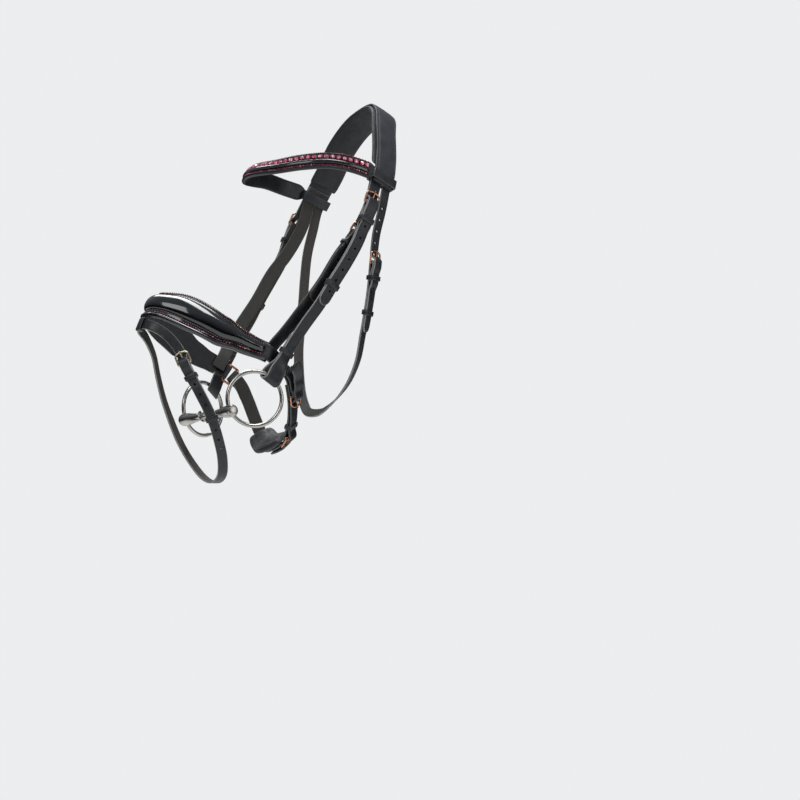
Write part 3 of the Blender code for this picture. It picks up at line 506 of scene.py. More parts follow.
# %% The bridle's own routes
MIRROR = Matrix.Scale(-1, 4, (1, 0, 0))
CROWN = Route([(0, 0, 0), (30, -8, -9), (55, -21, -36), (75, -32, -74), (86.5, -41, -98),
               (92, -48, -115), (94.5, -55, -130)], symmetric=True)
CROWN_END = min(162.0, CROWN.end)
UNDER_CROWN = -LEATHER - 2 * GAP
UNDER_BILLETS = 2 * UNDER_CROWN

RING_RADIUS = 33.5
RING_CENTRE = Vector((71, -213, -387))
RING_TURN = math.radians(18)
HOLE_ANGLE = math.radians(-28)
SEAT_ANGLE = math.radians(127)
RING_FORWARD = Vector((-math.sin(RING_TURN), -math.cos(RING_TURN), 0))
RING_UP = Vector((0, 0, 1))
RING_NORMAL = RING_FORWARD.cross(RING_UP).normalized()
BIT_FOLD = 4.9 + LEATHER / 2


def ring_point(angle):
    return RING_CENTRE + (RING_FORWARD * math.cos(angle) + RING_UP * math.sin(angle)) * RING_RADIUS


def ring_tangent(angle):
    return RING_UP * math.cos(angle) - RING_FORWARD * math.sin(angle)


SEAT = ring_point(SEAT_ANGLE)
HOLE = ring_point(HOLE_ANGLE)
CHEEK_LOW = Vector((85.5, -177, -330))
SEAT_OUT = outward(SEAT, (SEAT - CHEEK_LOW).normalized())
CHEEK = Route([CROWN.at(CROWN_END - 26, UNDER_CROWN, -8), CROWN.at(CROWN_END - 4, UNDER_CROWN, -8),
               (97, -72, -151), (99.5, -86, -185), (100, -103, -214),
               (98, -119, -239), (95, -135, -266), (90.5, -156, -296), CHEEK_LOW,
               SEAT + SEAT_OUT * (BIT_FOLD - LEATHER / 2)])
HANGER = Route([CROWN.at(CROWN_END - 26, UNDER_BILLETS, -7), CROWN.at(CROWN_END - 4, UNDER_BILLETS, -7),
                (86, -63, -140), (87, -84, -177), (87.5, -106, -205), (85, -130, -243),
                (81, -156, -278), (75, -174, -303), (66, -186, -320), (64, -195, -334)])
THROAT = Route([(0, -87, -391), (20, -89, -389), (42, -84, -377), (62, -78, -358), (76, -73, -332),
                (83, -70, -301), (86, -66, -274), (88, -61, -238), (89, -58, -207), (89, -54, -175),
                (89, -46, -144), CROWN.at(CROWN_END - 4, UNDER_CROWN, 8.6),
                CROWN.at(CROWN_END - 26, UNDER_CROWN, 8.6)], symmetric=True)
LOOP_PLACE = CROWN_END - 10
BROW = Route([(0, -177, -93), (38, -166, -93), (66, -143, -89), (83, -114, -87), (91, -86, -91),
              CROWN.at(LOOP_PLACE, 0, -21.5)], symmetric=True)
NOSE = Route([(0, -315, -271), (26, -299, -276), (46, -274, -290), (58, -248, -306),
              (66, -217, -321), (70, -193, -331), (67, -181, -339)], symmetric=True)
NOSE_END = NOSE.near((70, -193, -331))
NOSE_BAR = NOSE_END + 14
D_RING_LENGTH = 12.0
D_RING_WIRE = 1.5
TAB_HEIGHT = 2.5
JAW = Route([(0, -152, -438), (22, -147, -433), (40, -147, -417), (52, -150, -396), (60, -156, -372),
             (64, -164, -353), NOSE.at(NOSE_BAR + D_RING_LENGTH)], symmetric=True)
FLASH = Route([(0, -330.5, -296.5), (14, -327, -298.5), (26, -312, -309), (34.5, -298, -328), (41, -289, -352),
               (49, -277, -380), (53, -265, -405), (50, -252, -435), (40, -241, -459),
               (22, -233, -478), (0, -231, -484)], closed=True)
print("cheek route", round(CHEEK.length), "mm; noseband half", round(NOSE_END), "mm")

# %% [markdown]
# ## Paths of height
# A strap doesn't only follow its route: it climbs over a buckle's bar, folds back on itself,
# and lies on the strap below. A path lists (distance, height) pairs, eased from one to the next.

# %% Paths


def ease(share):
    return share * share * (3 - 2 * share)


def between(knots, place):
    if place <= knots[0][0]:
        return knots[0][1]
    for (p0, v0), (p1, v1) in zip(knots, knots[1:]):
        if place <= p1:
            return v0 + (v1 - v0) * ease((place - p0) / (p1 - p0))
    return knots[-1][1]


def run(knots):
    points = [knots[0]]
    for (s0, h0), (s1, h1) in zip(knots, knots[1:]):
        count = max(1, math.ceil(abs(s1 - s0) / 6)) if abs(h1 - h0) < 0.01 else 10
        for i in range(1, count + 1):
            points.append((s0 + (s1 - s0) * i / count, h0 + (h1 - h0) * ease(i / count)))
    return points


def fold(place, height, radius, side):
    turns = [math.pi * i / 14 for i in range(15)]
    return [(place + side * radius * math.sin(a), height + radius * math.cos(a)) for a in turns]


class Path:
    """A strap's middle line in distance and height, measured along its own length."""

    def __init__(self, points):
        self.points = [points[0]]
        for point in points[1:]:
            if math.dist(point, self.points[-1]) > 1e-4:
                self.points.append(point)
        self.reach = running_length(self.points)
        self.length = self.reach[-1]

    def slope(self, index):
        a = self.points[max(index - 1, 0)]
        b = self.points[min(index + 1, len(self.points) - 1)]
        return Vector((b[0] - a[0], b[1] - a[1])).normalized()

    def frame(self, x):
        """Distance, height and the leather's upward direction at x along the strap."""
        index, share, blend = stage_of(self.reach, x)
        (s0, h0), (s1, h1) = self.points[index], self.points[index + 1]
        slope = self.slope(index).lerp(self.slope(index + 1), blend).normalized()
        return s0 + (s1 - s0) * share, h0 + (h1 - h0) * share, slope

    def find(self, distance, start=0):
        """How far along the strap it first passes a distance on the route."""
        for index in range(start, len(self.points) - 1):
            s0, s1 = self.points[index][0], self.points[index + 1][0]
            if min(s0, s1) <= distance <= max(s0, s1) and s0 != s1:
                share = (distance - s0) / (s1 - s0)
                return self.reach[index] + share * (self.reach[index + 1] - self.reach[index])
        return self.length


# %% [markdown]
# ## Cutting a strap on the bench
# A saddler cuts a strap flat, punches its holes, rounds its tip and only then bends it. The
# same order works well here. A grid is added flat at the strap's size in millimetres, gets a
# wall and rounded edges, is punched, and is then laid along its route point by point. Bending
# modifiers could do this, but none follows two turns at once.

# %% The bench


def bench_strip(length, width, thickness=LEATHER, step=2.2, columns=6):
    clear_selection()
    bpy.ops.mesh.primitive_grid_add(x_subdivisions=max(4, round(length / step)), y_subdivisions=columns,
                                    size=1, location=(length / 2, 0, 0))
    piece = bpy.context.object
    piece.scale = (length, width, 1)
    apply_scale()
    solidify(piece, thickness)
    bevel(piece, min(0.55, thickness * 0.3))
    return piece


def punch(piece, holes=(), slots=(), radius=1.6):
    """Round holes at distances, and long holes as (middle, length, width)."""
    cutters = []
    for middle, length, width in [(x, radius * 2, radius * 2) for x in holes] + list(slots):
        cutter = cylinder(width / 2, 9, 20)
        for vertex in cutter.data.vertices:
            vertex.co.x += math.copysign((length - width) / 2, vertex.co.x) + middle
        cutters.append(cutter)
    if not cutters:
        return
    activate(cutters[0])
    for cutter in cutters:
        cutter.select_set(True)
    if len(cutters) > 1:
        bpy.ops.object.join()
    cut_out(piece, cutters[0])


def finish_tail(name, piece, route, line, width, material):
    """Marks, lays and names a strap whose holes were punched by hand."""
    mark_bench(piece, lambda x: width / 2, line.length)
    lay(piece, route, line)
    return finished(piece, name, material, instead=(name.replace("fine_", ""),))


def mark_bench(piece, half, length, turned_over=False):
    """UV map of millimetres along and millimetres in from the nearest edge."""
    grain = -1 if turned_over else 1
    layer = piece.data.uv_layers.active or piece.data.uv_layers.new()
    layer.name = BENCH_MAP
    for loop in piece.data.loops:
        x, y, z = piece.data.vertices[loop.vertex_index].co
        inset = max(min(half(x) - abs(y), x, length - x), 0)
        layer.data[loop.index].uv = (x, inset if z * grain >= 0 else -inset)


def mark_plain(piece, inset=9.0):
    """UV map for a piece with no cut edge in sight."""
    layer = piece.data.uv_layers.active or piece.data.uv_layers.new()
    layer.name = BENCH_MAP
    for corner in layer.data:
        corner.uv = (0.0, inset)


def round_tip(piece, length, tip):
    for vertex in piece.data.vertices:
        share = (vertex.co.x - length + tip) / tip
        if share > 0:
            turn = min(share, 1) * math.pi / 2
            vertex.co.x = length - tip + tip * math.sin(turn)
            vertex.co.y *= 0.12 + 0.88 * math.cos(turn)


def lay(piece, route, path, lean=None):
    """Bends a flat strap along its path over the head."""
    for vertex in piece.data.vertices:
        x, y, z = vertex.co
        s, h, slope = path.frame(x)
        skew, tilt = lean(s) if lean else (0, 0)
        vertex.co = route.at(s + y * skew - slope.y * z, h + y * tilt + slope.x * z, y) * MM
    piece.data.update()


def strap(name, route, points, width, material=None, holes=(), slots=(), tip=0.0, lean=None, instead=None,
          thickness=LEATHER, turned_over=False):
    path = Path(points)
    piece = bench_strip(path.length, width, thickness)
    if tip:
        round_tip(piece, path.length, tip)
    punch(piece, [path.find(s) for s in holes], [(path.find(s) + shift, a, b) for s, shift, a, b in slots])

    def half(x):
        share = max((x - path.length + tip) / tip, 0) if tip else 0
        return width / 2 * math.sqrt(max(1 - share * share, 0))

    mark_bench(piece, half, path.length, turned_over)
    lay(piece, route, path, lean)
    return finished(piece, name, material or STRAP,
                    instead=instead or (name.replace("fine_", ""),))


# %% [markdown]
# ## Buckle geometry
# One buckle pattern serves the whole bridle: a rounded wire frame with its heel bar inside the
# folded lower strap, and a tongue that turns on that bar. The billet climbs over the front
# bar, over the heel bar and down on the lower strap.

# %% Buckle geometry


class Buckle:
    def __init__(self, route, place, front, width, length, tail):
        self.route, self.place, self.front = route, place, front
        self.width, self.length, self.tail = width, length, tail
        self.base = LEATHER / 2
        self.bar = self.base + WRAP
        self.chape_lie = 1.5 * LEATHER + GAP
        self.billet_top = self.bar + WRAP + LEATHER + GAP
        self.billet_chape = self.chape_lie + LEATHER + GAP + 0.1
        self.knots = [(length - 4, self.base), (3.5, self.billet_top), (-3, self.billet_top),
                      (8 - tail, self.billet_chape), (-tail - 1, self.billet_chape),
                      (-tail - 12, self.chape_lie)]

    def to(self, reach):
        return self.place + self.front * reach

    def matrix(self):
        _, along, _, out = self.route.axes(self.place)
        ahead = along * self.front
        return placed(ahead, out.cross(ahead), out, self.route.at(self.place, self.bar))

    def chape(self):
        knots = [(self.to(-self.tail), self.chape_lie), (self.to(8 - self.tail), self.chape_lie),
                 (self.to(-3), self.bar + WRAP), (self.to(0), self.bar + WRAP)]
        return run(knots)[:-1] + fold(self.place, self.bar, WRAP, self.front)

    def billet(self, reach):
        return run([(self.to(d), h) for d, h in self.knots + [(-reach, self.chape_lie)]])

    def approach(self, start):
        return run([(start, self.base), (self.to(self.length - 4), self.base)])[:-1]

    def chape_slot(self):
        """Long hole at the fold, where the tongue's eye sits."""
        return (self.place, math.pi * WRAP / 2, 10.5, 4.4)

    def billet_slot(self):
        """Long hole the tongue comes through."""
        return (self.to(8.6), 0, 13.0, 4.0)


CHEEK_BUCKLE = Buckle(CHEEK, CHEEK.near((96, -67, -141)), -1, CHEEK_WIDTH, 17, 26)
THROAT_BUCKLE = Buckle(THROAT, THROAT.near((89, -58, -212)), 1, THIN_WIDTH, 15.5, 22)
HANGER_BUCKLE = Buckle(HANGER, HANGER.near((87, -85, -178)), -1, CHEEK_WIDTH, 15, 22)
CRANK_BUCKLE = Buckle(JAW, JAW.end - 38, -1, CHEEK_WIDTH, 15, 22)
FLASH_BUCKLE = Buckle(FLASH, FLASH.near((39, -292, -346)), -1, THIN_WIDTH, 15, 22)

# %% [markdown]
# ## Wire work
# Frames, rings, links and tongues are bent wire, so each is a curve with a round bevel, turned
# into a mesh once its shape is right. A NURBS curve of low order rounds the corners as a
# bending jig would.

# %% Wire work


def rung(x, half, shares):
    """Points across a wire frame, at shares of its half width."""
    return [(x, y * half, 0) for y in shares]


def wire(points, radius, matrix, closed=True, thin_end=False):
    curve = bpy.data.curves.new("wire", "CURVE")
    curve.dimensions = "3D"
    curve.bevel_depth, curve.bevel_resolution, curve.use_fill_caps = radius, 4, True
    spline = curve.splines.new("NURBS")
    spline.points.add(len(points) - 1)
    spline.use_cyclic_u, spline.use_endpoint_u, spline.order_u, spline.resolution_u = closed, True, 3, 5
    for index, (point, place) in enumerate(zip(spline.points, points)):
        point.co = (*place, 1)
        point.radius = 0.7 if thin_end and index < 2 else 1
    thing = linked("wire", curve)
    activate(thing)
    bpy.ops.object.convert(target="MESH")
    thing.data.transform(matrix)
    return thing


def buckle_frame(buckle, node, metal):
    half = buckle.width / 2 + 0.7 + BAR_RADIUS
    side = buckle.length - 4.5
    points = rung(0, half, (-0.9, -0.5, 0, 0.5, 0.9)) + [(0.4, half, 0), (side * 0.5, half, 0)]
    for i in range(11):
        turn = math.pi / 2 - math.pi * i / 10
        points.append((side + 4.8 * math.cos(turn), half * math.sin(turn), 0))
    points += [(side * 0.5, -half, 0), (0.4, -half, 0)]
    frame_piece = wire(points, BAR_RADIUS, buckle.matrix())
    return finished(frame_piece, node + "_frame", metal, instead=(node,))


def buckle_tongue(buckle, node, metal):
    eye, rise = BAR_RADIUS + 0.4 + 0.9, math.atan2(BAR_RADIUS + 1.2, buckle.length)
    tip = buckle.length + 2.2
    points = [(tip * share * math.cos(rise), 0, tip * share * math.sin(rise))
              for share in (1, 0.92, 0.6, 0.3)]
    for i in range(12):
        turn = math.radians(60) + math.radians(290) * i / 11
        points.append((eye * math.cos(turn), 0, eye * math.sin(turn)))
    pin = wire(points, 0.9, buckle.matrix(), closed=False, thin_end=True)
    return finished(pin, node + "_pin", metal, body=node, instead=(node,))


# %% [markdown]
# ## Keepers
# A keeper is a narrow leather loop that holds a billet's end down. A fixed keeper is sewn in,
# and a runner slides. The ribbon starts as a flat outline round the straps, which is then
# given its depth and its wall, because a loop made that way keeps the same wall all round.

# %% Keepers


def keeper_loop(route, place, width, low, high, depth, wall=1.3, slack=0.9):
    """Leather loop round the straps: a flat ribbon bent round a box, given a wall."""
    wide, tall = width / 2 + 0.6 + wall / 2, (high - low + slack + wall) / 2
    corner = 1.3
    outline = []
    for quarter, (sx, sy) in enumerate(((1, 1), (-1, 1), (-1, -1), (1, -1))):
        for step in range(4):
            a = (quarter + step / 3) * math.pi / 2
            outline.append((sx * (wide - corner) + corner * math.cos(a),
                            sy * (tall - corner) + corner * math.sin(a)))
    curve = bpy.data.curves.new("loop", "CURVE")
    curve.dimensions, curve.fill_mode, curve.extrude = "2D", "NONE", depth / 2
    spline = curve.splines.new("POLY")
    spline.points.add(len(outline) - 1)
    spline.use_cyclic_u = True
    for point, (x, y) in zip(spline.points, outline):
        point.co = (x, y, 0, 1)
    loop = linked("loop", curve)
    activate(loop)
    bpy.ops.object.convert(target="MESH")
    solidify(loop, wall)
    bevel(loop, 0.35)
    layer = loop.data.uv_layers.new(name=BENCH_MAP)
    # the loop's cut edges are marked as edges, so they take the leather's painted edge highlight
    for polygon in loop.data.polygons:
        inset = 0.45 if abs(polygon.normal.z) > 0.5 else 9.0
        for index in polygon.loop_indices:
            layer.data[index].uv = (0.0, inset)
    _, along, across, out = route.axes(place)
    loop.data.transform(placed(across, out, along, route.at(place, (low + high) / 2)))
    return loop


def keeper(node, route, place, width, low, high, depth, body=ROOT, wall=1.3, material=None):
    loop = keeper_loop(route, place, width, low, high, depth, wall)
    return finished(loop, node + "_loop", material or STRAP, body, (node,))


# %% [markdown]
# ## Whole buckles, and the right side
# The same few pieces go with every buckle, so one call makes them. The bridle is nearly the
# same on both sides, so the right-hand pieces are mirrored copies, with their normals turned
# back outwards.

# %% Whole buckles, and the right side


def fittings(buckle, prefix, side="", metal=None, fixed=18, depth=5.5, sliding=0, deep=6, material=None):
    """A buckle's frame and tongue, with its fixed keeper and its sliding one where it has them."""
    made = [buckle_frame(buckle, f"{prefix}_buckle{side}", metal or ROSE_GOLD),
            buckle_tongue(buckle, f"{prefix}_tongue{side}", metal or ROSE_GOLD)]
    if fixed:
        made.append(keeper(f"{prefix}_keeper{side}", buckle.route, buckle.to(-fixed), buckle.width, 0,
                           buckle.billet_chape + LEATHER / 2, depth, material=material))
    if sliding:
        node = f"{prefix}_runner{side}"
        made.append(keeper(node, buckle.route, buckle.to(-sliding), buckle.width, 0,
                           buckle.chape_lie + LEATHER / 2, deep, node))
    return made


def flat(start, end):
    """A strap's way from one distance to another, lying on the head."""
    return run([(start, LEATHER / 2), (end, LEATHER / 2)])


def billet_strap(name, buckle, start, reach, holes, tip, **more):
    """The upper strap of a buckle: over its bars and down the lower strap, with a row of holes."""
    return strap(name, buckle.route, buckle.approach(start) + buckle.billet(reach), buckle.width,
                 holes=[buckle.to(place) for place in holes], slots=[buckle.billet_slot()], tip=tip, **more)


def chape_strap(name, buckle, way, **more):
    """The lower strap of a buckle: folded round its heel bar, then off along its way."""
    return strap(name, buckle.route, buckle.chape() + way, buckle.width, slots=[buckle.chape_slot()], **more)


def mirrored(piece):
    """A copy for the horse's right side, with its faces turned the right way again."""
    other = linked("mirrored", piece.data.copy())
    other.data.transform(MIRROR)
    other.data.flip_normals()
    return other


def right_name(name):
    return name.replace("_left", "_right")


def both_sides(*pieces):
    """The right side's copies of finished left pieces, standing for the right nodes."""
    for piece in pieces:
        finished(mirrored(piece), right_name(piece.name), piece.data.materials[0],
                 right_name(piece["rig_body"]), [right_name(node) for node in piece.get("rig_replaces", ())])


# %% [markdown]
# ## Stitches and stones in rows
# A row of stitches or stones is one small shape copied many times. The shape is modelled once
# with a primitive, and a row gathers copies of it, each turned to lie on the leather.

# %% Rows of small shapes


def seed_shape(kind, **sizes):
    clear_selection()
    if kind == "stitch":
        bpy.ops.mesh.primitive_uv_sphere_add(segments=8, ring_count=5, radius=1)
        scale = (sizes["length"] / 2, sizes["width"] / 2, sizes["width"] * 0.4)
    elif kind == "stone":
        bpy.ops.mesh.primitive_cone_add(vertices=8, radius1=1, radius2=0.62, depth=0.6)
        scale = (sizes["radius"],) * 3
    else:
        bpy.ops.mesh.primitive_torus_add(major_segments=14, minor_segments=5, major_radius=sizes["radius"],
                                         minor_radius=sizes["thickness"])
        scale = (1, 1, 1)
    seed = bpy.context.object
    seed.scale = scale
    apply_scale()
    corners = [v.co.copy() for v in seed.data.vertices]
    faces = [tuple(f.vertices) for f in seed.data.polygons]
    bpy.data.objects.remove(seed)
    return corners, faces


def row(seed, matrices):
    corners, faces = seed
    points, rings = [], []
    for matrix in matrices:
        start = len(points)
        points += [matrix @ corner for corner in corners]
        rings += [tuple(start + i for i in face) for face in faces]
    mesh = bpy.data.meshes.new("row")
    mesh.from_pydata(points, [], rings)
    mesh.update()
    return linked("row", mesh)


def on_route(route, s, height, sideways, turn=0.0):
    _, along, across, out = route.axes(s)
    if turn:
        cosine, sine = math.cos(turn), math.sin(turn)
        along, across = along * cosine + across * sine, across * cosine - along * sine
    return placed(along, across, out, route.at(s, height, sideways))


def even_places(start, end, pitch):
    count = max(1, round(abs(end - start) / pitch))
    return [start + (end - start) * (i + 0.5) / count for i in range(count)]


def value_at(given, s):
    return given(s) if callable(given) else given


STITCH = seed_shape("stitch", length=2.5, width=0.65)


def stitch_row(name, route, start, end, height, sideways, pitch=3.3, thread=None):
    """Stitches from start to end; sideways is a number or a function of distance."""
    spots = [on_route(route, s, height, value_at(sideways, s)) for s in even_places(start, end, pitch)]
    return finished(row(STITCH, spots), name, thread or PALE_THREAD)


def stone_row(name, seed, material, route, places, height, sideways, spin=0.4, **more):
    """Stones at places along a route, each turned a little further than the one before."""
    spots = [on_route(route, s, height, value_at(sideways, s), spin * i) for i, s in enumerate(places)]
    return finished(row(seed, spots), name, material, **more)


# %% [markdown]
# ## The headpiece
# The crown is one wide shaped strap, domed a little, with a pressed line inside each edge. It
# is lofted: a cylinder is cut into rings, and each ring is pressed to the strap's section.

# %% Lofted pieces


def loft(route, start, end, section, rings=90, sides=32):
    """A tube pressed to section(s, angle) -> (sideways, height) at each ring along a route."""
    piece = cylinder(1, 2, sides, rotation=(0, math.pi / 2, 0))
    apply_scale()
    bpy.ops.object.mode_set(mode="EDIT")
    bpy.ops.mesh.select_mode(type="EDGE")
    bpy.ops.mesh.select_all(action="DESELECT")
    bpy.ops.object.mode_set(mode="OBJECT")
    for edge in piece.data.edges:
        a, b = (piece.data.vertices[i].co for i in edge.vertices)
        edge.select = abs(a.x - b.x) > 1
    bpy.ops.object.mode_set(mode="EDIT")
    bpy.ops.mesh.subdivide_edgering(number_cuts=rings, smoothness=0)
    bpy.ops.mesh.select_mode(type="VERT")
    bpy.ops.object.mode_set(mode="OBJECT")
    for vertex in piece.data.vertices:
        s = start + (end - start) * (vertex.co.x + 1) / 2
        angle = math.atan2(vertex.co.z, vertex.co.y)
        sideways, height = section(s, angle)
        vertex.co = route.at(s, height, sideways) * MM
    activate(piece)
    bpy.ops.object.mode_set(mode="EDIT")
    bpy.ops.mesh.select_all(action="SELECT")
    bpy.ops.mesh.normals_make_consistent(inside=False)
    bpy.ops.object.mode_set(mode="OBJECT")
    return piece


def squarish(angle, power=0.45):
    """Unit section between a circle and a rectangle: (sideways, height) in -1..1."""
    c, s = math.cos(angle), math.sin(angle)
    return math.copysign(abs(c) ** power, c), math.copysign(abs(s) ** power, s)


def end_fade(s, start, end, reach=4.0):
    """1 along a piece, easing to nothing over its last millimetres."""
    share = min(abs(s - start), abs(end - s)) / reach
    return math.sqrt(max(1 - (1 - min(share, 1)) ** 2, 0.0))


# %% Crown and its lining


def crown_width(s):
    return between([(0, 34), (70, 32), (CROWN_END - 30, 32), (CROWN_END, 30)], abs(s))


def crown_section(s, angle):
    side, up = squarish(angle, 0.3)
    half = crown_width(s) / 2
    dome = 0.9 * (1 - side * side) if up > 0 else 0
    line = 0.5 * math.exp(-((abs(side) * half - half + 3.4) / 0.7) ** 2) if up > 0 else 0
    return side * half, 1.6 + 1.5 * up + dome - line


crown = loft(CROWN, -CROWN_END, CROWN_END, crown_section, rings=120, sides=64)
mark_plain(crown)
finished(crown, "crown_face", CROWN_FACE, instead=("crown_strap",))


def lining_section(s, angle):
    side, up = squarish(angle, 0.6)
    reach = CROWN_END - 29
    full = end_fade(s, -reach, reach, 9)
    thickness = (6.6 - 1.6 * side * side) * (0.35 + 0.65 * full)
    waist = 0.5 * math.exp(-((abs(side) - 0.55) / 0.08) ** 2) if up < 0 else 0
    return side * (19 - 1.5 * (1 - full)), -GAP - thickness / 2 + up * thickness / 2 + waist


lining = loft(CROWN, -CROWN_END + 29, CROWN_END - 29, lining_section, rings=100, sides=40)
finished(lining, "crown_cushion", LINING, instead=("crown_padding",))

for side, word in ((1, "front"), (-1, "rear")):
    stitch_row(f"crown_stitches_{word}", CROWN, -CROWN_END + 6, CROWN_END - 22, 2.95,
               lambda s, k=side: -k * (crown_width(s) / 2 - 3.4), 3.6, DARK_THREAD)

# %% [markdown]
# ## Cheeks
# Each cheek is a billet sewn under the crown and a cheekpiece folded round the buckle above
# and the bit ring below. The left side is made, and mirrored for the right.

# %% Cheeks
STRAP_START = 3.0
cheek_billet = billet_strap("fine_cheek_billet_left", CHEEK_BUCKLE, STRAP_START, 146,
                            [-31 - 16 * i for i in range(7)], 9)

END = CHEEK.length
UNDER = -LEATHER / 2 - GAP


def bit_lean(place):
    _, along, across, out = CHEEK.axes(END)
    tangent = ring_tangent(SEAT_ANGLE)
    share = ease(min(max((place - END + 30) / 22, 0), 1))
    return share * tangent.dot(along) / tangent.dot(across), share * tangent.dot(out) / tangent.dot(across)


way = flat(CHEEK_BUCKLE.place, END)[1:-1] + fold(END, LEATHER / 2 - BIT_FOLD, BIT_FOLD, 1)
way += run([(END, LEATHER / 2 - 2 * BIT_FOLD), (END - 24, UNDER), (END - 58, UNDER)])[1:]
cheekpiece = chape_strap("fine_cheekpiece_left", CHEEK_BUCKLE, way, lean=bit_lean)
buckle, pin, fixed, runner = fittings(CHEEK_BUCKLE, "cheek", "_left", fixed=22, depth=6.5, sliding=118, deep=7)
bit_keeper = keeper("bit_keeper_left", CHEEK, END - 36, CHEEK_WIDTH, -LEATHER - GAP, LEATHER, 6)


def turned(profile, matrix, steps=40):
    """A profile of (radius, height) points spun round its own upright axis."""
    mesh = bpy.data.meshes.new("turned")
    mesh.from_pydata([(x, 0, z) for x, z in profile], [(i, i + 1) for i in range(len(profile) - 1)], [])
    piece = linked("turned", mesh)
    activate(piece)
    bpy.ops.object.mode_set(mode="EDIT")
    bpy.ops.mesh.select_all(action="SELECT")
    bpy.ops.mesh.spin(steps=steps, angle=2 * math.pi, center=(0, 0, 0), axis=(0, 0, 1))
    bpy.ops.mesh.select_all(action="SELECT")
    bpy.ops.mesh.remove_doubles(threshold=0.001)
    bpy.ops.mesh.normals_make_consistent(inside=False)
    bpy.ops.object.mode_set(mode="OBJECT")
    piece.data.transform(matrix)
    return piece


_, along, across, out = CHEEK.axes(END - 47)
stud_profile = [(0, -0.3), (1.2, -0.3), (1.2, -3.2), (3.6, -3.3), (4, -3.6), (4, -4.3), (3.2, -5.3),
                (1.6, -5.7), (0, -5.8)]
stud = turned(stud_profile, placed(along, across, out, CHEEK.at(END - 47)), 24)
finished(stud, "hook_stud_left_head", ROSE_GOLD, instead=("hook_stud_left",))

both_sides(cheek_billet, cheekpiece, buckle, fixed, bit_keeper, stud, pin, runner)

# %% [markdown]
# ## Throatlatch and noseband hanger
# The throatlatch goes loosely under the throat and stops the headpiece slipping forward. The
# hanger carries the noseband on a strap of its own, under the cheek. Both are plain straps
# with a buckle on the left, so they reuse the bench and the buckle above. On the right the
# hanger needs no buckle: one length of strap is laid on the left route and mirrored.

# %% Throatlatch
throat_top = THROAT.end - STRAP_START
billet_strap("fine_throat_billet", THROAT_BUCKLE, throat_top, 86, (72, 57, 42, 27, -30, -44), 7,
             turned_over=True)
chape_strap("fine_throat_strap", THROAT_BUCKLE, flat(THROAT_BUCKLE.place, -throat_top)[1:], turned_over=True)
fittings(THROAT_BUCKLE, "throat", sliding=62)

# %% Noseband hanger
billet_strap("fine_noseband_billet", HANGER_BUCKLE, STRAP_START, 104, (-42, -58, -74), 8,
             material=DARK_STRAP)
chape_strap("fine_noseband_hanger_left", HANGER_BUCKLE, flat(HANGER_BUCKLE.place, HANGER.length)[1:],
            material=DARK_STRAP)
fittings(HANGER_BUCKLE, "hanger", material=DARK_STRAP)
plain = strap("fine_noseband_hanger_right", HANGER, flat(STRAP_START, HANGER.length), CHEEK_WIDTH, DARK_STRAP)
plain.data.transform(MIRROR)
plain.data.flip_normals()

# %% [markdown]
# ## Browband
# The browband is a padded leather band with a wave in it. From its top edge down it carries a
# row of tiny stones, a row of large round ones in metal cups, a raised plain strip and a row
# of small stones above the padded lower edge.

# %% Browband
BAND_THICKNESS = 4.4
brow_reach = BROW.end + 4


def band_taper(s):
    """The band narrows over its last millimetres, to tuck against its loop."""
    return 1 - 0.35 * max((abs(s) - brow_reach + 10) / 10, 0) ** 2


def band_section(s, angle):
    side, up = squarish(angle, 0.4)
    v = side * 10.5
    lip = 1.3 * math.exp(-((v + 8.9) / 1.6) ** 2) + 0.6 * math.exp(-((v - 9.6) / 1.0) ** 2)
    return v * band_taper(s), (BAND_THICKNESS / 2) * (1 + up) + (lip if up > 0 else 0)


def strip_section(s, angle):
    side, up = squarish(angle, 0.7)
    rise = 2.9 * end_fade(s, -brow_reach + 8, brow_reach - 8)
    return -2 + side * 2.4, BAND_THICKNESS + GAP + rise / 2 * (1 + up)


band = loft(BROW, -brow_reach, brow_reach, band_section, rings=140, sides=56)
mark_plain(band)
finished(band, "browband_band", DARK_STRAP, instead=("browband",))
brow_strip = loft(BROW, -brow_reach + 8, brow_reach - 8, strip_section, rings=140, sides=20)
finished(brow_strip, "browband_strip", PATENT, instead=("browband_roll",))

STONE_PITCH = 7.2
stone_count = int((brow_reach - 8) * 2 / STONE_PITCH)
stone_places = [(i + 0.5 - stone_count / 2) * STONE_PITCH for i in range(stone_count)]
big_stone = seed_shape("stone", radius=3.35)
big_cup = seed_shape("cup", radius=3.3, thickness=0.35)
face = BAND_THICKNESS + GAP
brow_row = functools.partial(even_places, -brow_reach + 10, brow_reach - 10)
stone_row("browband_stones", big_stone, ROSE_STONE, BROW, stone_places, face + 1.5, 4.4, 0.35,
          instead=("browband_crystal_row",), angle=5)
stone_row("browband_cups", big_cup, CUP_METAL, BROW, stone_places, face + 0.7, 4.4, 0)
small_stone = seed_shape("stone", radius=1.15)
tiny_stone = seed_shape("stone", radius=0.85)
stone_row("browband_small_stones", small_stone, SMALL_STONE, BROW, brow_row(3.3), BAND_THICKNESS + 0.45, -5.9,
          angle=5)
stone_row("browband_tiny_stones", tiny_stone, COPPER_STONE, BROW, brow_row(2.1), BAND_THICKNESS + 0.9, 9.6,
          angle=5)
loop_low = UNDER_BILLETS - 1
brow_loop = keeper("browband_loop_left", CROWN, LOOP_PLACE, 32.6, loop_low, 3.2, 12, wall=1.8)
both_sides(brow_loop)

# %% [markdown]
# ## Noseband
# The noseband is deep at the front and narrow at its ends. A fat patent roll runs along its
# middle between two stitched channels, with stones above and below, and the lower edge is a
# soft rounded lip.

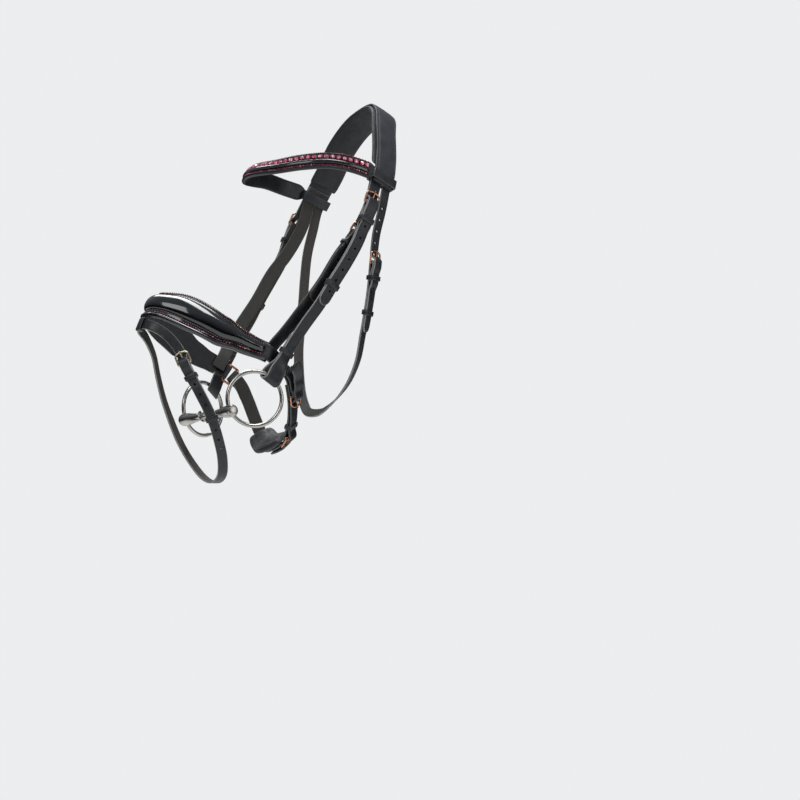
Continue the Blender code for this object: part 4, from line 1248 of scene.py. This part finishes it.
# %% Noseband
NOSE_TOP = [(0, 19), (50, 22), (95, 19), (125, 14), (150, 12), (170, 11)]
NOSE_BOTTOM = [(0, -21), (50, -24), (92, -22), (122, -16), (150, -13), (170, -12)]
ROLL_TOP = [(0, 12.5), (50, 15), (95, 12.8), (125, 8), (155, 6)]
ROLL_BOTTOM = [(0, -10), (50, -11.5), (95, -10.5), (125, -5.5), (155, -3.5)]
NOSE_FACE = 5.0


def nose_edges(s):
    return between(NOSE_TOP, abs(s)), between(NOSE_BOTTOM, abs(s))


def nose_front(v, high, low):
    """Height of the noseband's face: a lip below, a bead channel, a groove, then the top."""
    lip = 1.6 * math.exp(-((v - low - 3.0) / 2.4) ** 2)
    channel = 0.7 * math.exp(-((v - low - 7.6) / 1.2) ** 2)
    groove = 0.7 * math.exp(-((v - high + 4.6) / 0.8) ** 2)
    return 4.0 + lip - channel - groove


def nose_section(s, angle):
    side, up = squarish(angle, 0.34)
    high, low = nose_edges(s)
    v = low + (high - low) * (side + 1) / 2
    full = 0.55 + 0.45 * end_fade(s, -NOSE_END, NOSE_END, 10)
    if up > 0:
        return v, nose_front(v, high, low) * up * full
    return v, 1.0 + 0.2 * up


def nose_lining_section(s, angle):
    side, up = squarish(angle, 0.5)
    high, low = nose_edges(s)
    full = end_fade(s, -NOSE_END, NOSE_END, 8)
    return low + 0.8 + (high - low - 1.6) * (side + 1) / 2, 0.6 + (0.35 + 0.4 * full) * up


def roll_section(s, angle):
    side, up = squarish(angle, 0.8)
    high, low = between(ROLL_TOP, abs(s)), between(ROLL_BOTTOM, abs(s))
    share = abs(s) / (NOSE_END - 9)
    rise = (6.4 - 2.0 * share ** 3) * end_fade(s, -NOSE_END + 9, NOSE_END - 9, 7)
    v = low + (high - low) * (side + 1) / 2
    return v, NOSE_FACE - 0.6 + (rise * (1 - side * side) ** 0.55 if up > 0 else 0)


noseband = loft(NOSE, -NOSE_END, NOSE_END, nose_section, rings=150, sides=80)
finished(noseband, "noseband_body", PATENT, instead=("noseband",))
nose_lining = loft(NOSE, -NOSE_END + 0.5, NOSE_END - 0.5, nose_lining_section, rings=110, sides=40)
finished(nose_lining, "noseband_lining", LINING)
roll = loft(NOSE, -NOSE_END + 9, NOSE_END - 9, roll_section, rings=150, sides=48)
finished(roll, "noseband_patent_roll", PATENT, instead=("noseband_roll",))


def top_groove(s):
    return nose_edges(s)[0] - 4.6


def bead_channel(s):
    return nose_edges(s)[1] + 7.6


stitch_row("noseband_stitches_top", NOSE, -NOSE_END + 8, NOSE_END - 8, 3.5, top_groove, 3.0)
stitch_row("noseband_stitches_low", NOSE, -NOSE_END + 8, NOSE_END - 8, 4.1,
           lambda s: bead_channel(s) + 2.9, 3.0)
nose_row = functools.partial(even_places, -NOSE_END + 10, NOSE_END - 10)
stone_row("noseband_small_stones", small_stone, DEEP_STONE, NOSE, nose_row(3.3), 3.7, bead_channel, angle=5)
stone_row("noseband_tiny_stones", tiny_stone, COPPER_STONE, NOSE, nose_row(2.2), 3.9,
          lambda s: nose_edges(s)[0] - 1.6, angle=5)

# %% Tabs and rings at the noseband's ends
TAB_LEATHER = 2.0
D_FOLD = D_RING_WIRE + 0.5 + TAB_LEATHER / 2
for side, word in ((1, "left"), (-1, "right")):
    over = [(NOSE_END - 10, TAB_HEIGHT + 1.2), (NOSE_BAR - 6, TAB_HEIGHT + 1.2),
            (NOSE_BAR - 1, TAB_HEIGHT + D_FOLD), (NOSE_BAR, TAB_HEIGHT + D_FOLD)]
    under = [(NOSE_BAR, TAB_HEIGHT - D_FOLD), (NOSE_BAR - 6, TAB_HEIGHT - 1.2),
             (NOSE_END - 10, TAB_HEIGHT - 1.2)]
    tab_path = run(over)[:-1] + fold(NOSE_BAR, TAB_HEIGHT, D_FOLD, 1) + run(under)[1:]
    strap(f"noseband_tab_{word}", NOSE, [(side * s, h) for s, h in tab_path], 18, DARK_STRAP,
          thickness=TAB_LEATHER, instead=("noseband",), turned_over=side < 0)

_, along, across, out = NOSE.axes(NOSE_BAR)
half = 9 + 0.8 + D_RING_WIRE
shares = (-0.92, -0.5, 0, 0.5, 0.92)
ring_points = rung(0, half, shares) + [(1, half, 0), (D_RING_LENGTH - 1, half, 0)]
ring_points += rung(D_RING_LENGTH, half, reversed(shares)) + [(D_RING_LENGTH - 1, -half, 0), (1, -half, 0)]
d_ring = wire(ring_points, D_RING_WIRE, placed(along, across, out, NOSE.at(NOSE_BAR, TAB_HEIGHT)))
finished(d_ring, "noseband_ring_left_wire", ROSE_GOLD, "noseband_ring_left", ("noseband_ring_left",))
both_sides(d_ring)

# %% [markdown]
# ## Crank closure and chin strap
# A short chape hangs from the left ring and holds the buckle. The crank strap runs down from
# it, round a roller, and back up through the buckle, so pulling it draws both sides in.

# %% Crank closure
JAW_BAR = JAW.end
JAW_FOLD = D_RING_WIRE + 1.2 + LEATHER / 2
ROLLER_RADIUS = 3.0
ROLLER_PLACE = 36.0
LINK_PLACE = 24.0
ROLLER_HEIGHT = 3.0
ROLLER_FOLD = ROLLER_RADIUS + 0.4 + LEATHER / 2


def ring_bar_height():
    _, along, _, _ = NOSE.axes(NOSE_BAR)
    bar = NOSE.at(NOSE_BAR, TAB_HEIGHT) + along * D_RING_LENGTH
    point, _, _, out = JAW.axes(JAW_BAR)
    return (bar - point).dot(out)


ring_bar = ring_bar_height()
crank = CRANK_BUCKLE
outer = [(JAW_BAR - 6, ring_bar + JAW_FOLD), (JAW_BAR - 10, ring_bar + JAW_FOLD + 1),
         (crank.to(-9), crank.chape_lie + 1), (crank.to(-3), crank.bar + WRAP),
         (crank.place, crank.bar + WRAP)]
inner = [(crank.place, crank.base), (JAW_BAR - 12, crank.base), (JAW_BAR, ring_bar - JAW_FOLD)]
chape_path = run(outer)[:-1] + fold(crank.place, crank.bar, WRAP, -1)
chape_path += run(inner)[1:] + list(reversed(fold(JAW_BAR, ring_bar, JAW_FOLD, 1)))[1:-1]
strap("fine_crank_chape", JAW, chape_path, CHEEK_WIDTH, DARK_STRAP, slots=[crank.chape_slot()],
      turned_over=True)

base, under_height = crank.base, -crank.base - 2 * GAP
down = [(crank.to(-14), under_height), (ROLLER_PLACE + 14, under_height),
        (ROLLER_PLACE, ROLLER_HEIGHT - ROLLER_FOLD)]
around = list(reversed(fold(ROLLER_PLACE, ROLLER_HEIGHT, ROLLER_FOLD, -1)))
rise = crank.to(crank.length - 4)
up_leg = [(ROLLER_PLACE, ROLLER_HEIGHT + ROLLER_FOLD), (ROLLER_PLACE + 12, base + 1), (rise, base)]
over = [(rise, base), (crank.to(3.5), crank.billet_top), (crank.to(-3), crank.billet_top),
        (crank.to(-16), crank.billet_top + 4), (crank.to(-40), crank.billet_top + 22)]
crank_path = run(down)[:-1] + around + run(up_leg)[1:-1] + run(over)
back_leg = len(run(down)) + len(around)
crank_line = Path(crank_path)
crank_piece = bench_strip(crank_line.length, CHEEK_WIDTH)
round_tip(crank_piece, crank_line.length, 8)
slot_middle = crank_line.find(crank.to(9.5), back_leg)
punch(crank_piece, [crank_line.find(ROLLER_PLACE + 17, back_leg)], [(slot_middle, 9.0, 3.8)])
finish_tail("fine_crank_strap", crank_piece, JAW, crank_line, CHEEK_WIDTH, DARK_STRAP)
fittings(crank, "crank", fixed=0)
keeper("crank_keeper", JAW, ROLLER_PLACE + 15, CHEEK_WIDTH, -LEATHER - 2 * GAP, LEATHER + 1, 5.5)

out = JAW.axes(LINK_PLACE + 6)[3]
foot, roller_middle = JAW.at(LINK_PLACE, ROLLER_HEIGHT), JAW.at(ROLLER_PLACE, ROLLER_HEIGHT)
ahead = (roller_middle - foot).normalized()
side = out.cross(ahead).normalized()
half, reach = CHEEK_WIDTH / 2 + 0.9 + BAR_RADIUS, (roller_middle - foot).length
shares = (-0.9, -0.4, 0.4, 0.9)
link_points = rung(0, half, shares) + [(0.6, half, 0), (reach - 0.6, half, 0)]
link_points += rung(reach, half, reversed(shares)) + [(reach - 0.6, -half, 0), (0.6, -half, 0)]
link = wire(link_points, BAR_RADIUS, placed(ahead, side, ahead.cross(side), foot))
finished(link, "roller_link_wire", ROSE_GOLD, instead=("roller_link",))
half_tube = [(1.7, 7.5), (2.6, 7.5), (3.0, 7.0), (3.0, 5.4), (2.75, 5.0)]
tube_profile = half_tube + [(radius, -height) for radius, height in reversed(half_tube)] + half_tube[:1]
tube = turned(tube_profile, placed(ahead.cross(side), ahead, side, roller_middle), 32)
finished(tube, "crank_roller_tube", ROSE_GOLD, "crank_roller", ("crank_roller",))

# %% [markdown]
# ## Chin strap and pad
# The chin strap joins the roller's link to the right ring behind the jaw. A soft pad lies
# inside it, so that the strap doesn't rub the bone.

# %% Chin strap and pad
left_tail = [(LINK_PLACE - 22, ROLLER_HEIGHT + 2.4), (LINK_PLACE - 8, ROLLER_HEIGHT + 2.4),
             (LINK_PLACE, ROLLER_HEIGHT + WRAP)]
chin_body = [(LINK_PLACE, ROLLER_HEIGHT - WRAP), (LINK_PLACE - 10, base), (-JAW_BAR + 12, base),
             (-JAW_BAR, ring_bar - JAW_FOLD)]
on_top = base + LEATHER + GAP
right_tail = [(-JAW_BAR, ring_bar + JAW_FOLD), (-JAW_BAR + 14, on_top), (-JAW_BAR + 30, on_top)]
chin_path = run(left_tail)[:-1] + fold(LINK_PLACE, ROLLER_HEIGHT, WRAP, 1) + run(chin_body)[1:-1]
chin_path += list(reversed(fold(-JAW_BAR, ring_bar, JAW_FOLD, -1))) + run(right_tail)[1:]
strap("fine_chin_strap", JAW, chin_path, CHEEK_WIDTH, DARK_STRAP, turned_over=True)


def pad_section(s, angle):
    side, up = squarish(angle, 0.62)
    u = (s + 8) / 38
    full = math.sqrt(max(1 - u ** 6, 0.0))
    thickness = (11.5 - 3 * side * side) * (0.25 + 0.75 * full)
    channel = 1.0 * math.exp(-((abs(side) - 0.52) / 0.09) ** 2)
    swell = 0.5 * math.cos(u * 9) * (1 - side * side)
    height = -1.6 - thickness if up < 0 else -1.6
    middle = -1.6 - thickness / 2
    relief = channel + swell if up < 0 else 0
    return side * (18.5 - 3 * u ** 4) * (0.8 + 0.2 * full), middle + (height - middle) * abs(up) + relief


chin = loft(JAW, -46, 30, pad_section, rings=70, sides=48)
finished(chin, "chin_cushion", LINING, instead=("chin_pad",))

# %% [markdown]
# ## Flash
# The flash is a thin strap that passes through a loop on the noseband and buckles in front of
# the bit. It is one strap, so its path goes once round the muzzle and on through its buckle.

# %% Flash
lap = FLASH.length
ring_way = flat(FLASH_BUCKLE.place, lap + FLASH_BUCKLE.to(FLASH_BUCKLE.length - 4))[1:-1]
flash_chape = FLASH_BUCKLE.chape()
flash_path = flash_chape + ring_way + [(s + lap, h) for s, h in FLASH_BUCKLE.billet(112)]
flash_line = Path(flash_path)
flash = bench_strip(flash_line.length, THIN_WIDTH)
round_tip(flash, flash_line.length, 10)
flash_start = len(flash_chape)
*flash_holes, flash_slot = [flash_line.find(lap + FLASH_BUCKLE.to(reach), flash_start)
                            for reach in (26, -28, -42, -56, -88, -100, 9.5)]
slot_middle = flash_line.find(FLASH_BUCKLE.place) + math.pi * WRAP / 2
punch(flash, flash_holes, [(slot_middle, 10.5, 4.4), (flash_slot, 9.0, 3.8)])
finish_tail("fine_flash_strap", flash, FLASH, flash_line, THIN_WIDTH, STRAP)
# the flash buckle's paler plating is a painted reflection
fittings(FLASH_BUCKLE, "flash", metal=REFLECTION_PALED_BRASS, sliding=74)
keeper("flash_loop", FLASH, 0, THIN_WIDTH + 0.6, -0.9, LEATHER + 0.9, 11, wall=1.4, material=DARK_STRAP)

# %% [markdown]
# ## The bit
# The rings are welded from round steel wire and polished. Each mouthpiece arm swells towards
# its ring, where it is bored, and ends in a loop that carries the lozenge.

# %% Bit rings
clear_selection()
ring_rotation = RING_NORMAL.to_track_quat("Z", "Y").to_euler()
bpy.ops.mesh.primitive_torus_add(location=RING_CENTRE * MM, rotation=ring_rotation, major_segments=96,
                                 minor_segments=20, major_radius=RING_RADIUS * MM, minor_radius=2.5 * MM)
bit_ring = bpy.context.object
settle(bit_ring)
finished(bit_ring, "bit_ring_left_wire", STEEL, "bit_ring_left", ("bit_ring_left",))
both_sides(bit_ring)

# %% Mouthpiece
LINK_HALF = 11.0
tangent = ring_tangent(HOLE_ANGLE)
pivot_axis = Vector((0, tangent.y, tangent.z)).normalized()
inward = Vector((-1, 0, 0))
arm_matrix = placed(pivot_axis, inward.cross(pivot_axis), inward, HOLE)
arm_length = HOLE.x - LINK_HALF
neck = arm_length - 8.5
arm_profile = [(0, neck), (2.6, neck), (3.4, neck - 0.8), (4.2, neck - 3), (5.0, neck - 9),
               (5.8, arm_length * 0.45), (6.8, 14), (7.3, 10), (7.55, 6), (7.6, 2), (7.6, -4),
               (7.3, -5.8), (6.4, -7.4), (4.5, -8.1), (0, -8.4)]
arm = turned(arm_profile, Matrix.Identity(4))
bore_frame = arm_matrix.inverted() @ placed(RING_NORMAL, tangent.cross(RING_NORMAL), tangent, HOLE)
bore = cylinder(3.6, 24)
bore.data.transform(bore_frame)
cut_out(arm, bore)
bevel(arm, 0.4, 2, 60)
arm.data.transform(arm_matrix)
finished(arm, "mouthpiece_arm_left_barrel", STEEL, "mouthpiece_arm_left", ("mouthpiece_arm_left",))
both_sides(arm)
eye_points = [(-2.2, 0, neck - 2), (-5.2, 0, neck + 1), (-5.7, 0, neck + 4), (-5.7, 0, arm_length - 2.5),
              (-4, 0, arm_length), (4, 0, arm_length), (5.7, 0, arm_length - 2.5), (5.7, 0, neck + 4),
              (5.2, 0, neck + 1), (2.2, 0, neck - 2)]
eye = wire(eye_points, 1.95, arm_matrix, closed=False)
finished(eye, "mouthpiece_arm_left_eye", STEEL, "mouthpiece_arm_left", ("mouthpiece_arm_left",))
both_sides(eye)

lozenge = cylinder(1, 5, 48)
lozenge.scale = (18.5, 8.5, 1)
apply_scale()
bevel(lozenge, 1.6, 4)
for x, radius in ((-LINK_HALF, 4.3), (LINK_HALF, 2.6)):
    hole = cylinder(radius, 12, location=(x, 0, 0))
    settle(hole)
    cut_out(lozenge, hole)
right = Vector((1, 0, 0))
lozenge.data.transform(placed(right, pivot_axis.cross(right), pivot_axis, Vector((0, HOLE.y, HOLE.z))))
finished(lozenge, "mouthpiece_lozenge_link", STEEL, "mouthpiece_lozenge", ("mouthpiece_lozenge",))

# %% [markdown]
# ## Sewing
# Wherever a strap is folded back on itself it is sewn through both layers, close to each edge.
# Saddlers sew about eight stitches to the inch, which is one every three millimetres.

# %% Sewing
for reach, word in ((5.6, "front"), (-5.6, "rear")):
    both_sides(stitch_row(f"cheek_seam_{word}_left", CHEEK, END - 57, END - 28, LEATHER + 0.1, reach, 3.0,
                          DARK_THREAD))
    both_sides(stitch_row(f"tab_seam_{word}_left", NOSE, NOSE_END - 8, NOSE_END + 6, TAB_HEIGHT + 2.3, reach,
                          2.8, DARK_THREAD))

# %% [markdown]
# ## Studio
# A plain pale floor, a long soft panel overhead, a soft key light from the front and a fill. The
# bridle hangs above the floor as it would on the horse. The camera looks slightly upwards at its left side.

# %% Floor and lights
FLOOR_HEIGHT = -0.95
clear_selection()
bpy.ops.mesh.primitive_circle_add(vertices=96, radius=2.4, fill_type="NGON", location=(0, 0, FLOOR_HEIGHT))
floor = bpy.context.object
settle(floor)
floor.name = "floor"
floor_paint, _, dress = new_material("matt pale floor")
dress({"Base Color": linear("#eeeeec"), "Roughness": 0.9})
floor.data.materials.append(floor_paint)
floor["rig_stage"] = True

world = bpy.data.worlds.new("pale studio")
bpy.context.scene.world = world
world.use_nodes = True
node = functools.partial(add_node, world.node_tree)
rise = node("SeparateXYZ", node("TexCoord", take="Generated"), take="Z")
dome = node("Mix", node("MapRange", rise, 0.0, 0.65, 0, 1), linear("#33312f"), linear("#dfe9f7"))
seen = node("LightPath", take="Is Camera Ray")
colour_in, strength_in = world.node_tree.nodes["Background"].inputs[:2]
feed(colour_in, node("Mix", seen, dome, linear("#f2f3f4")))
feed(strength_in, node("MapRange", seen, 0, 1, 0.38, 0.95))


def soft_light(name, place, aim, size, watts):
    lamp = bpy.data.lights.new(name, "AREA")
    lamp.shape, lamp.size, lamp.size_y, lamp.energy = "RECTANGLE", size[0], size[1], watts
    light = linked(name, lamp)
    light.location = place
    light.rotation_euler = (Vector(aim) - Vector(place)).to_track_quat("-Z", "Y").to_euler()


soft_light("overhead panel", (-0.4, 0.05, 2.0), (-0.4, 0.0, -0.3), (4.2, 0.8), 85)
soft_light("key light", (1.4, -2.4, 1.2), (0, -0.2, -0.25), (1.6, 1.6), 24)
soft_light("fill light", (2.6, 1.0, 0.1), (0, -0.15, -0.25), (1.6, 1.6), 14)

# %% Camera
VIEW_TURN, VIEW_RISE = math.radians(60), math.radians(-6)
DISTANCE, LENS, SENSOR = 4.0, 140.0, 36.0
AIM_RIGHT, AIM_DOWN = 0.02829, 0.369       # metres from the poll to the middle of the view
back = Vector((math.sin(VIEW_TURN) * math.cos(VIEW_RISE), -math.cos(VIEW_TURN) * math.cos(VIEW_RISE),
               math.sin(VIEW_RISE)))
right = Vector((math.cos(VIEW_TURN), math.sin(VIEW_TURN), 0))
up = back.cross(right)
aim = right * AIM_RIGHT - up * AIM_DOWN
lens = bpy.data.cameras.new("camera")
lens.lens, lens.sensor_width = LENS, SENSOR
camera = linked("camera", lens)
turned_to_view = Matrix((right, up, back)).transposed().to_4x4()
camera.matrix_world = Matrix.Translation(aim + back * DISTANCE) @ turned_to_view
bpy.context.scene.camera = camera
bpy.context.scene.view_settings.view_transform = "Standard"

# %% [markdown]
# ## The sizes side by side
# The box of the finished model is set beside the frame's own box.

# %% Sizes and finish


def plain(box):
    return [[float(c) for c in corner] for corner in box]


{"cad": plain(frame_box), "visual": plain(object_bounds())}
